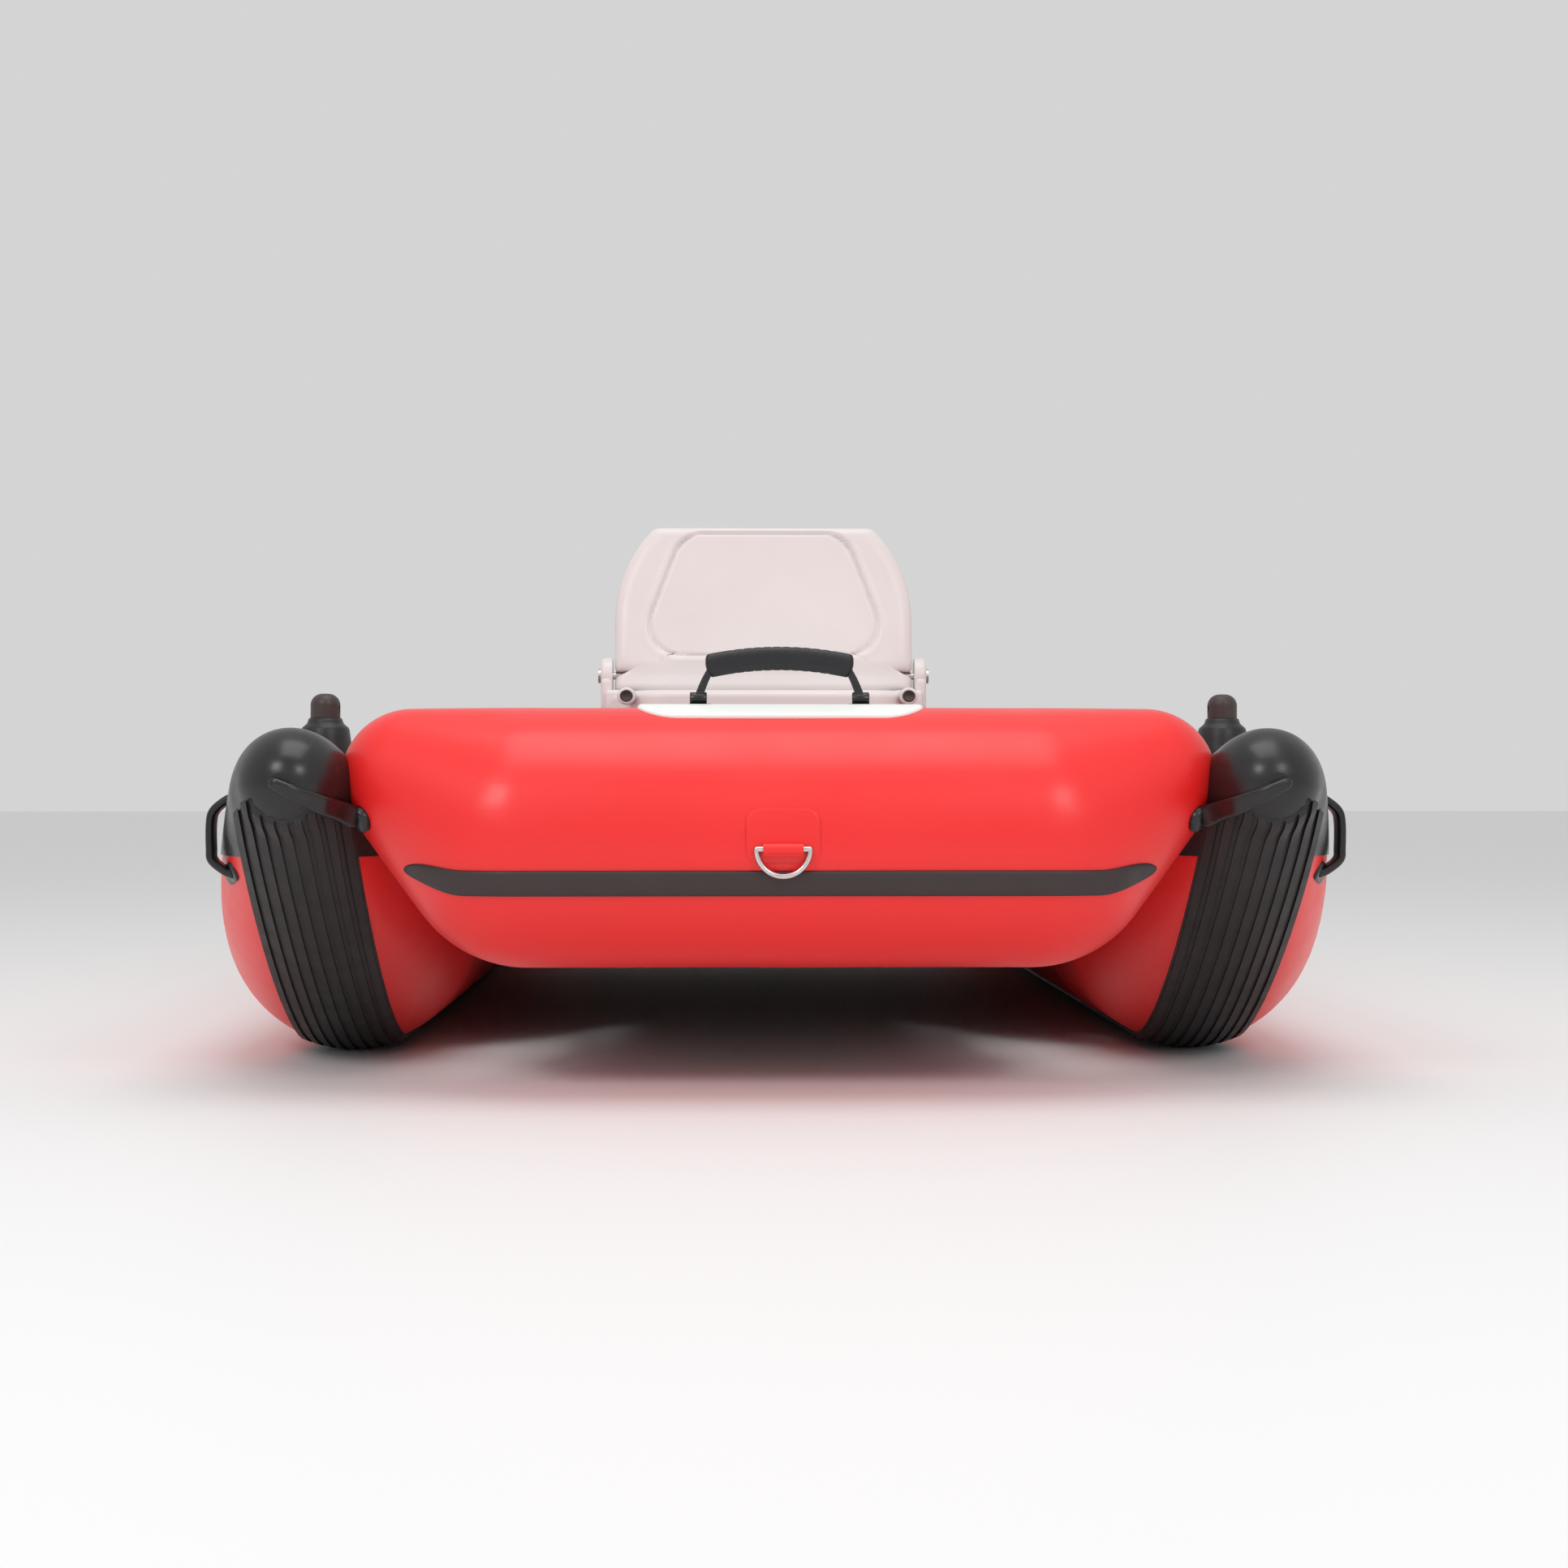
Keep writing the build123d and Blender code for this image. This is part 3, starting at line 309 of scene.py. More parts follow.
def even(loop, count):
    """Points evenly spaced along a closed loop."""
    knots = [Vector(p) for p in loop] + [Vector(loop[0])]
    lengths = [0.0]
    for a, b in zip(knots, knots[1:]):
        lengths.append(lengths[-1] + (b - a).length)
    spaced, k = [], 0
    for i in range(count):
        want = lengths[-1] * i / count
        while lengths[k + 1] < want:
            k += 1
        spaced.append(knots[k].lerp(knots[k + 1], (want - lengths[k]) / max(1e-9, lengths[k + 1] - lengths[k])))
    return spaced


def rounding(run, length):
    """How much of a section is left near a round end, at a run from it."""
    return sqrt(max(0.04, 1 - max(0.0, 1 - run / length) ** 2))


def scaled(loop, share):
    """A loop made smaller about its middle."""
    return [(x * share, y * share) for x, y in loop]


def sweep(path, loops, up):
    """Loops of (x, y) carried along a path, y kept near a given direction."""
    rings = []
    for i, point in enumerate(path):
        along = (path[min(i + 1, len(path) - 1)] - path[max(i - 1, 0)]).normalized()
        side = along.cross(up).normalized()
        over = side.cross(along)
        rings.append([point + side * x + over * y for x, y in (loops[i] if isinstance(loops[0][0], tuple)
                                                              else loops)])
    return skin(rings)


def smooth_path(knots, steps=10):
    """A Catmull-Rom curve through knots."""
    knots = [Vector(k) for k in knots]
    ends = [2 * knots[0] - knots[1]] + knots + [2 * knots[-1] - knots[-2]]
    path = []
    for a, b, c, d in zip(ends, ends[1:], ends[2:], ends[3:]):
        for step in range(steps):
            t = step / steps
            path.append(0.5 * ((2 * b) + (c - a) * t + (2 * a - 5 * b + 4 * c - d) * t * t
                               + (3 * b - a - 3 * c + d) * t ** 3))
    return path + [knots[-1]]


def turned(profile, centre, axis=(0, 0, 1), steps=48):
    """A (radius, height) profile turned about an axis."""
    turn = Vector((0, 0, 1)).rotation_difference(Vector(axis))
    rings = []
    for radius, height in profile:
        rings.append([Vector(centre) + turn @ Vector((radius * cos(tau * j / steps), radius * sin(tau * j / steps),
                                                     height)) for j in range(steps)])
    return skin(rings)


def patch(tree, origin, across, up, half, corner, thick, rim=0.003, rings=14, count=96):
    """A rounded rectangle of sheet laid on a surface: its outline in across x up, cast down onto it."""
    across, up = Vector(across).normalized(), Vector(up).normalized()
    normal = across.cross(up).normalized()
    up = normal.cross(across)
    outline = even(section(2 * half[0], 2 * half[1], corner, 12), count)
    shares = [(1.0, -0.0015), (1.0, thick * 0.35), (1 - 0.25 * rim / min(half), thick * 0.8),
              (1 - 0.6 * rim / min(half), thick * 0.96)]
    shares += [(1 - rim / min(half) - (1 - rim / min(half)) * i / rings, thick) for i in range(rings)]
    loops = []
    for share, height in shares:
        loop = []
        for x, y in outline:
            start = Vector(origin) + across * x * share + up * y * share + normal * 0.2
            hit, away, _, _ = tree.ray_cast(start, -normal, 0.4)
            if hit is None:
                hit, away, _, _ = tree.find_nearest(start - normal * 0.2)
            loop.append(hit + (away if away.dot(normal) > 0 else normal) * height)
        loops.append(loop)
    return skin(loops)


# ---- pontoons ----
tube_x = sum(corner.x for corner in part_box("baffle_port")) / 2
tube_z = sum(corner.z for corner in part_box("baffle_port")) / 2
nose_y, stern_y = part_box("pontoon_port")[0].y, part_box("pontoon_port")[1].y
NOSE_SEAM, STERN_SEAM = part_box("nose_cap_port")[1].y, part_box("stern_cap_port")[0].y
SEAMS = (NOSE_SEAM, -0.62, 0.30, STERN_SEAM)     # where tube panels are joined round the girth


def ripple(angle, seed, count):
    """Uneven puckers round a seam, between about -1 and 1."""
    wander = noise.noise(Vector((cos(angle) * 1.7, sin(angle) * 1.7, seed)))
    swell = noise.noise(Vector((cos(angle) * 3.1, sin(angle) * 3.1, seed + 9)))
    return sin(angle * count + wander * 5.0) * (0.55 + 0.45 * swell)


def pucker(y, angle):
    """How far the skin stands proud: it draws in at each seam and ripples beside it."""
    out = 0.0005 * noise.noise(Vector((y * 3.0, cos(angle) * 1.5, sin(angle) * 1.5)))
    for i, seam in enumerate(SEAMS):
        near = abs(y - seam)
        out += 0.0009 * ripple(angle, i * 3.7, 23) * exp(-near / 0.07) - 0.0007 * exp(-(near / 0.03) ** 2)
    return out


def tube_rings(tree, stations, lift, around=112):
    """Rings of points round the port pontoon, each lifted off its surface."""
    rings = []
    for y in stations:
        high = outermost(tree, Vector((tube_x, y, 0.0)), Vector((0, 0, 1)))
        low = outermost(tree, Vector((tube_x, y, high.z - 0.005)), Vector((0, 0, -1)))
        centre = (high + low) / 2
        ring = []
        for j in range(around):
            angle = tau * j / around
            direction = Vector((cos(angle), 0, sin(angle)))
            ring.append(outermost(tree, centre, direction) + direction * lift(y, angle))
        rings.append(ring)
    return rings


def pontoons():
    """The red tubes, from tip to tip, with a tape over each girth seam."""
    tree = surface_of("pontoon_port")
    tips = [0.0008 * 1.5 ** i for i in range(10)]
    stations = [nose_y + t for t in tips] + spread(nose_y + 0.035, stern_y - 0.035, 230) \
        + [stern_y - t for t in reversed(tips)]
    tube = skin(tube_rings(tree, stations, pucker))
    tapes = []
    for seam in SEAMS[1:-1]:
        shares = ((-0.0175, -0.002), (-0.0172, 0.0003), (-0.016, 0.0009), (0.016, 0.0009), (0.0172, 0.0003),
                  (0.0175, -0.002))
        heights = {seam + s: h for s, h in shares}
        tapes.append(skin(tube_rings(tree, list(heights), lambda y, a: heights[y] + pucker(y, a))))
    for word, side in SIDES:
        piece(f"tube_{word}", *sided(tube, side), "pvc_red", replaces=(f"pontoon_{word}",))
        piece(f"seam_tapes_{word}", *sided(joined(*tapes), side), "pvc_red")


# ---- bow tube ----
bow_low, bow_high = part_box("bow_tube")
bow_y = (bow_low.y + bow_high.y) / 2
bow_z = (bow_low.z + bow_high.z) / 2
bow_r = (bow_high.z - bow_low.z) / 2
BOW_BEND, BOW_END = Vector((0.300, 0, 0)), Vector((0.438, 0, 0.069))    # from the tube's middle
BOW_END_R = 0.085


def bow_gap(p):
    """How far a point stands off the bow tube: a cylinder whose ends taper and rise to a small sphere."""
    p = Vector((abs(p.x), p.y - bow_y, p.z - bow_z))
    straight = hypot(p.y, p.z) - bow_r if p.x < BOW_BEND.x else 1.0
    lean = BOW_END - BOW_BEND
    along = (p - BOW_BEND).dot(lean.normalized())
    away = sqrt(max(0.0, (p - BOW_BEND).length_squared - along * along))
    slope = (bow_r - BOW_END_R) / lean.length
    flat = sqrt(1 - slope * slope)
    side = flat * along - slope * away
    if side < 0:
        cone = hypot(along, away) - bow_r
    elif side > flat * lean.length:
        cone = hypot(along - lean.length, away) - BOW_END_R
    else:
        cone = flat * away + slope * along - bow_r
    return min(straight, cone)


def bow_point(start, direction, reach=0.4):
    """Where a ray from outside meets the bow tube."""
    step = 0.0
    for _ in range(60):
        gap = bow_gap(start + direction * step)
        if gap < 0.00005 or step > reach:
            break
        step += gap
    return start + direction * step


def bow_spine(x):
    """The tube's middle line, and its direction, at a distance across the boat."""
    over = max(0.0, abs(x) - BOW_BEND.x) / (BOW_END.x - BOW_BEND.x)
    tilt = atan2(BOW_END.z, BOW_END.x - BOW_BEND.x) * ease(abs(x), 0.20, 0.42)
    sign = 1 if x >= 0 else -1
    return Vector((x, bow_y, bow_z + BOW_END.z * over)), Vector((sign * cos(tilt) if x else 1, 0, sin(tilt)))


def bow_skin():
    """The fat cross tube, slightly puckered where its ends are welded on."""
    rings, around = [], 120
    for sign in (-1, 1):
        half = []
        for x in spread(0.006, BOW_END.x, 62):
            centre, along = bow_spine(sign * x)
            over = Vector((0, 1, 0)).cross(along).normalized() * sign
            half.append([bow_point(centre + d * 0.3, -d) for d in
                         (Vector((0, cos(tau * j / around), 0)) + over * (-sin(tau * j / around) * 1.0)
                          for j in range(around))])
        centre, along = bow_spine(sign * BOW_END.x)
        over = Vector((0, 1, 0)).cross(along).normalized() * sign
        for tilt in spread(4, 86, 18):
            c, s = cos(radians(tilt)), sin(radians(tilt))
            half.append([bow_point(centre + d * 0.3, -d) for d in
                         (Vector((0, cos(tau * j / around) * c, 0)) - over * (sin(tau * j / around) * c) + along * s
                          for j in range(around))])
        rings = half[::-1] if sign < 0 else rings + half
    for ring in rings:
        for j, p in enumerate(ring):
            away = Vector((0, p.y - bow_y, p.z - bow_z)).normalized()
            near = abs(abs(p.x) - 0.335)
            draw = 0.0004 * ripple(tau * j / around, (5 if p.x > 0 else -5), 13) * exp(-near / 0.09)
            ring[j] = p + away * (draw + 0.0008 * noise.noise(p * 5.0))
    piece("bow_skin", *skin(rings), "pvc_red", replaces=("bow_tube",))


class BowTree:
    """Lets patch() lie on the bow tube's own form."""

    def ray_cast(self, start, direction, reach):
        hit = bow_point(start, direction)
        step = 0.0005
        away = Vector([bow_gap(hit + Vector(axis) * step) - bow_gap(hit - Vector(axis) * step)
                       for axis in ((1, 0, 0), (0, 1, 0), (0, 0, 1))]).normalized()
        return hit, away, 0, 0


def strake():
    """The rubbing strake: a domed band that thins out and turns up at its ends."""
    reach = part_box("bow_strake")[1].x
    middle, half_height, proud = 0.252, 0.0145, 0.0052
    end_length, end_rise = 0.075, 0.0135
    rings = []
    tree = BowTree()
    for x in [-reach * cos(pi * i / 150) for i in range(151)]:
        end = (reach - abs(x)) / end_length
        share = sqrt(max(0.0006, 1 - max(0.0, 1 - end) ** 2))
        centre = middle + end_rise * (1 - ease(reach - abs(x), 0.0, end_length))
        ring = []
        for j in range(28):
            angle = tau * j / 28
            across, lift = cos(angle), max(-0.3, sin(angle))
            z = centre + half_height * share * (abs(across) ** 0.6) * (1 if across > 0 else -1)
            hit, away, _, _ = tree.ray_cast(Vector((x, bow_y - 0.3, z)), Vector((0, 1, 0)), 0.4)
            ring.append(hit + away * proud * share * (lift ** 0.55 if lift > 0 else lift))
        rings.append(ring)
    piece("strake", *skin(rings), "rubber_grey", replaces=("bow_strake",))


def bow_fittings():
    """Pad, ring patch, and the straps that tie the tube's ends to the noses."""
    tree = BowTree()
    pad_low, pad_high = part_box("bow_pad")
    middle = (pad_low + pad_high) / 2
    piece("pad", *patch(tree, (middle.x, middle.y, pad_high.z), (1, 0, 0), (0, 1, 0),
                        ((pad_high.x - pad_low.x) / 2, (pad_high.y - pad_low.y) / 2), 0.050, 0.0045, rings=18,
                        count=128), "pad_white", replaces=("bow_pad",))
    tab_low, tab_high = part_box("bow_ring_tab")
    tab = patch(tree, (0, bow_y - 0.2, (tab_low.z + tab_high.z) / 2), (1, 0, 0), (0, 0, 1),
                ((tab_high.x - tab_low.x) / 2, (tab_high.z - tab_low.z) / 2), 0.014, 0.0027)
    piece("ring_patch", *tab, "pvc_red")
    nose_tree = surface_of("nose_cap_port", "keel_guard_port")
    for word, side in SIDES:
        rest, away, _, _ = tree.ray_cast(Vector((0.4918, -1.7, 0.3245)), Vector((0, 1, 0)), 0.4)
        start, end = Vector((0.588, nose_y - 0.002, 0.369)), rest + away * 0.003
        steps, round_steps = 40, 4
        path = []
        for t in spread(0, 1, steps + 1):
            point = start.lerp(end, t)
            front = nose_tree.ray_cast(point - Vector((0, 0.3, 0)), Vector((0, 1, 0)), 0.4)[0]
            if front is not None:
                point.y = min(point.y, front.y - 0.0055)
            path.append(point)
        for _ in range(8):
            path = path[:1] + [(a + 2 * b + c) / 4 for a, b, c in zip(path, path[1:], path[2:])] + path[-1:]
        loops = []
        for i, t in enumerate(spread(0, 1, steps + 1)):
            share = rounding(i, round_steps) * rounding(steps - i, round_steps)
            loops.append(scaled(section(0.012 + 0.004 * t, 0.0135 + 0.0135 * t, 0.005), share))
        strap = sweep(path, loops, Vector((0, -0.2, 1)))
        knob = turned([(0.0001, -0.012), (0.0160, -0.012), (0.0168, 0.002), (0.0162, 0.0055), (0.0140, 0.0080),
                       (0.0100, 0.0095), (0.0001, 0.0102)], rest, away, 48)
        piece(f"gusset_patch_{word}", *sided(joined(strap, knob), side), "pvc_black",
              replaces=(f"gusset_strap_{word}", f"gusset_{word}"))


# ---- handles ----
def bow_handle():
    """The grab handle: a moulded grip with finger ribs, its webbing legs, and the feet they turn in."""
    low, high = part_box("bow_handle_grip")
    y, reach, rise = (low.y + high.y) / 2, high.x, 0.010
    path, loops = [], []
    for x in spread(-reach, reach, 111):
        share = rounding(reach - abs(x), 0.006)
        if abs(x) < 0.062:
            share *= 1 - 0.03 * ease(sin(x * tau / 0.0115), 0.3, 0.8)
        path.append(Vector((x, y, low.z + 0.0145 + rise * (1 - (x / reach) ** 2))))
        loops.append(scaled(section(high.y - low.y, 0.0285, 0.0085), share))
    piece("grip", *sweep(path, loops, Vector((0, 0, 1))), "grip_black", body="bow_handle",
          replaces=("bow_handle_grip",))
    foot = Vector((0.0980, y, 0.4675))
    path = smooth_path([foot, foot + Vector((-0.003, 0, 0.010)), foot + Vector((-0.0085, 0, 0.0235)),
                        foot + Vector((-0.0150, 0, 0.0360))], 8)
    strap = sweep(path, [section(0.013, 0.0105 - 0.0025 * t, 0.002) for t in spread(0, 1, len(path))],
                  Vector((1, 0, 0)))
    radius, half = 0.0062, 0.0058
    eye = turned([(0.0001, -half), (radius * 0.92, -half), (radius, -half * 0.85), (radius, half * 0.85),
                  (radius * 0.92, half), (0.0001, half)], foot, (1, 0, 0), 28)
    legs = [sided(shape, side) for side in (1, -1) for shape in (strap, eye)]
    piece("handle_legs", *joined(*legs), "webbing_black", body="bow_handle", replaces=("bow_handle_strap",))
    barrel = turned([(0.0040, -0.0102), (0.0078, -0.0102), (0.0084, -0.0090), (0.0084, 0.0090), (0.0078, 0.0102),
                     (0.0040, 0.0102)], foot, (1, 0, 0), 36)
    for word, side in SIDES:
        base_low, base_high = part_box(f"bow_handle_lug_{word}")
        centre = (base_low + base_high) / 2
        base = patch(surface_of("bow_pad"), (abs(centre.x), centre.y, 0.47), (1, 0, 0), (0, 1, 0),
                     (0.0165, 0.0195), 0.006, 0.0022, rings=6, count=48)
        piece(f"handle_foot_{word}", *sided(joined(base, barrel), side), "pvc_black",
              replaces=(f"bow_handle_lug_{word}",))


def side_handles():
    """Carry handles: a moulded loop and the two patches that hold it."""
    y = sum(corner.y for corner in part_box("side_handle_port")) / 2
    tree = surface_of("nose_cap_port", "pontoon_port")
    shapes, ends = [], []
    for z in (0.2560, 0.3480):
        hit, away, _, _ = tree.ray_cast(Vector((1, y, z)), Vector((-1, 0, 0)), 1)
        ends.append(hit)
        shapes.append(patch(tree, hit, (0, 1, 0), away.cross(Vector((0, 1, 0))), (0.0255, 0.0125), 0.012, 0.0034,
                            rings=6, count=56))
    reach = max(0.6925, max(end.x for end in ends) + 0.012)
    low, high = ends
    path = smooth_path([(low.x - 0.005, y, 0.2545), (low.x + 0.006, y, 0.2590), (reach - 0.002, y, 0.2720),
                        (reach, y, 0.2870), (reach, y, 0.3170), (reach - 0.004, y, 0.3325),
                        (high.x + 0.008, y, 0.3450), (high.x - 0.005, y, 0.3505)], 12)
    shapes.append(sweep(path, section(0.029, 0.0100, 0.0042), Vector((1, 0, 0))))
    for word, side in SIDES:
        piece(f"carry_handle_{word}", *sided(joined(*shapes), side), "pvc_black",
              replaces=(f"side_handle_{word}",))


# ---- seat ----
def outline_of(node, centre, across, up, count, reach=0.6):
    """The outline of a CAD node in a plane, as evenly spaced points about a centre."""
    tree = surface_of(node)
    loop = []
    for j in range(count * 6):
        angle = tau * j / (count * 6)
        hit = outermost(tree, centre, across * cos(angle) + up * sin(angle), reach) - centre
        loop.append((hit.dot(across), hit.dot(up)))
    return even(loop, count)


def slab(outline, place, front, back, rim, steps=26):
    """A moulded slab over an outline: two height fields whose edges are rounded by rim."""
    centre = sum(outline, Vector((0, 0))) / len(outline)
    size = min((p - centre).length for p in outline)
    turns = spread(0, pi / 2, 7)
    faces = []
    for face, sign in ((back, -1), (front, 1)):
        rings = []
        levels = [(1 - rim * (1 - cos(a)) / size, rim * (1 - sin(a))) for a in turns]
        levels += [((1 - rim / size) * (1 - i / steps), 0.0) for i in range(1, steps)]
        for share, drop in levels:
            spots = [centre + (p - centre) * share for p in outline]
            rings.append([place(*spot, face(*spot) - sign * drop) for spot in spots])
        faces.append(rings)
    return skin(faces[0][::-1] + faces[1])


def inside(x, y, half_low, half_high, low, high, corner):
    """How far a point lies inside a rounded trapezoid; negative outside."""
    share = min(1.0, max(0.0, (y - low) / (high - low)))
    lean = (half_low - half_high) / (high - low)
    dx = (half_low + (half_high - half_low) * share - abs(x)) / sqrt(1 + lean * lean)
    dy = min(y - low, high - y)
    return corner - hypot(corner - dx, corner - dy) if dx < corner and dy < corner else min(dx, dy)


def joint_place(name):
    """Where a joint's axis passes."""
    return Vector([j for j in frame["record"]["behaviour"]["joints"] if j["name"] == name][0]["pos_m"])


def backrest():
    """The backrest: a thick moulded shell with a soft-edged recessed panel."""
    lean = radians(8)
    up, out, across = Vector((0, sin(lean), cos(lean))), Vector((0, -cos(lean), sin(lean))), Vector((1, 0, 0))
    middle = joint_place("backrest_fold") + up * 0.11
    outline = outline_of("seat_backrest", middle, across, up, 200)

    def front(x, y):
        panel = inside(x, y + 0.11, 0.216, 0.136, 0.030, 0.241, 0.078 if y + 0.11 < 0.135 else 0.034)
        return 0.0215 - 0.0022 * ease(panel, -0.002, 0.003) - 0.0040 * exp(-((panel - 0.002) / 0.0022) ** 2) \
            + 0.0008 * exp(-((panel + 0.007) / 0.004) ** 2) \
            + 0.0035 * ease(abs(x), 0.17, 0.26) * ease(-y, -0.06, 0.08) - 0.004 * ease(-y - 0.085, 0.0, 0.03)

    def rear(x, y):
        return -0.0215 + 0.004 * ease(inside(x, y + 0.11, 0.19, 0.13, 0.02, 0.23, 0.05), -0.004, 0.02)

    place = lambda x, y, z: middle + across * x + up * y + out * z
    piece("backrest", *slab(outline, place, front, rear, 0.012, 76), "seat_white", body="seat_backrest",
          replaces=("seat_backrest",))


def seat_pan():
    """The seat pan with a dished top, front bosses with brown plugs, and the ears that carry the backrest."""
    low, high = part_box("seat_pan")
    top, under = 0.508, low.z
    middle = Vector((0, -0.335, (top + under) / 2))
    outline = outline_of("seat_pan", middle, Vector((1, 0, 0)), Vector((0, 1, 0)), 200)
    half = (top - under) / 2

    def dish(x, y):
        panel = inside(x, y, 0.190, 0.190, -0.165, 0.150, 0.07)
        wave = 0.0012 * sin(x * 34) * ease(y, 0.16, 0.20)
        return half - 0.0055 * ease(panel, -0.004, 0.03) + wave

    place = lambda x, y, z: middle + Vector((x, y, z))
    pan = slab(outline, place, dish, lambda x, y: -half, 0.012)
    hinge = joint_place("backrest_fold")
    ears, caps = [], []
    knob = [(0.0001, -0.0096), (0.0285, -0.0096), (0.0298, -0.0085), (0.0300, -0.0070), (0.0300, 0.0040),
            (0.0290, 0.0075), (0.0265, 0.0095), (0.0200, 0.0097), (0.0185, 0.0090), (0.0178, 0.0060),
            (0.0001, 0.0056)]
    ear_x = (0.2506 + 0.270) / 2
    ears.append(turned(knob, (ear_x, hinge.y, hinge.z), (1, 0, 0), 56))
    post = [Vector((ear_x, hinge.y, z)) for z in spread(0.470, hinge.z - 0.004, 9)]
    ears.append(sweep(post, [section(0.0590, 0.0190, 0.006) for _ in post], Vector((1, 0, 0))))
    foot = [Vector((x, hinge.y, 0.486)) for x in spread(0.225, 0.2688, 6)]
    ears.append(sweep(foot, section(0.0590, 0.031, 0.006), Vector((0, 0, 1))))
    caps.append(turned([(0.0001, -0.002), (0.0172, -0.002), (0.0172, 0.0005), (0.0150, 0.0015), (0.0075, 0.0012),
                        (0.0070, 0.0032), (0.0001, 0.0040)], (ear_x + 0.0055, hinge.y, hinge.z), (1, 0, 0), 48))
    boss = [(0.0001, 0.0035), (0.0118, 0.0035), (0.0136, 0.0025), (0.0142, 0.0), (0.0142, -0.030),
            (0.0001, -0.030)]
    socket = [(0.0001, 0.0040), (0.0060, 0.0040), (0.0072, 0.0050), (0.0088, 0.0056), (0.0098, 0.0044),
              (0.0098, -0.003), (0.0001, -0.003)]
    for profile, shapes in ((boss, ears), (socket, caps)):
        points, faces = turned(profile, (0, 0, 0), (0, -1, 0), 40)
        shapes.append(([Vector((0.2140 + p.x, low.y + 0.0020 + p.y, 0.4985 + p.z * 0.92)) for p in points],
                       faces))
    flare = [Vector((x, hinge.y - 0.0400, 0.4960 + 0.0060 * ease(x, 0.190, 0.222)))
             for x in spread(0.188, 0.2640, 39)]
    loops = [scaled(section(0.0330, 0.020 + 0.0160 * ease(p.x, 0.190, 0.222), 0.0070), rounding(38 - i, 3))
             for i, p in enumerate(flare)]
    ears.append(sweep(flare, loops, Vector((0, 0, 1))))
    both = [sided(shape, side) for side in (1, -1) for shape in ears]
    piece("seat_pan_shell", *joined(pan, *both), "seat_white", replaces=("seat_pan",))
    piece("hinge_caps", *joined(*[sided(cap, side) for side in (1, -1) for cap in caps]), "plastic_brown")


def seat_box():
    """The box under the seat, with a flange screwed to the floor."""
    low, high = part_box("seat_box")
    y = (low.y + high.y) / 2
    half_x, half_y = (high.x - low.x) / 2 - 0.025, (high.y - low.y) / 2 - 0.025
    wall = [even(section(2 * (half_x + s), 2 * (half_y + s), 0.03 + max(0, s)), 140)
            for s in (0.025, 0.025, 0.0235, 0.012, 0.006, 0.002, 0.0, -0.001, -0.003)]
    heights = (0.0, 0.0045, 0.006, 0.0062, 0.0075, 0.012, 0.02, 0.20, high.z - low.z)
    rings = [[Vector((p.x, y + p.y, low.z + h)) for p in loop] for loop, h in zip(wall, heights)]
    piece("seat_box_shell", *skin(rings), "seat_white", replaces=("seat_box",))


# ---- floor ----
def air_floor():
    """The inflated floor: flat faces and round sides."""
    low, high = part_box("floor")
    centre = Vector((0, -0.1, (low.z + high.z) / 2))
    outline = outline_of("floor", centre, Vector((1, 0, 0)), Vector((0, 1, 0)), 360, reach=2.5)
    half, edge = (high.z - low.z) / 2, 0.022
    rings = []
    for sign in (-1, 1):
        some = []
        for a in spread(0.0, pi / 2, 8):
            inset = edge * (1 - cos(a))
            some.append([Vector((p.x * (1 - inset / max(0.3, abs(p.x))), p.y + centre.y - (p.y / 1.1) * inset,
                                 centre.z + sign * (half - edge + edge * sin(a)))) for p in outline])
        for i in range(1, 12):
            share = 1 - i / 12
            some.append([Vector((q.x * share, centre.y + (q.y - centre.y) * share, q.z)) for q in some[7]])
        rings = some[::-1] if sign < 0 else rings + some
    piece("floor_skin", *skin(rings), "floor_grey", replaces=("floor",))


# ---- swivels ----
def swivels():
    """The cones that the turning heads stand in."""
    for word, _ in SIDES:
        low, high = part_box(f"swivel_{word}")
        x, y = (low.x + high.x) / 2, (low.y + high.y) / 2
        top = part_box(f"swivel_base_{word}")[1].z
        cone = [(0.0001, 0.354), (0.0350, 0.354), (0.0350, 0.405), (0.0340, 0.412), (0.0322, 0.424),
                (0.0308, 0.4345), (0.0296, 0.4375), (0.0262, 0.4405), (0.0238, 0.4425), (0.0226, 0.4450),
                (0.0212, 0.4490), (0.0198, top), (0.0082, top), (0.0081, 0.430), (0.0001, 0.430)]
        disc = patch(surface_of(f"pontoon_{word}"), (x, y, 0.36), (1, 0, 0), (0, 1, 0), (0.045, 0.045), 0.0449,
                     0.0032, rings=8, count=72)
        piece(f"swivel_cone_{word}", *joined(turned(cone, (x, y, 0)), disc), "plastic_black",
              replaces=(f"swivel_base_{word}",))


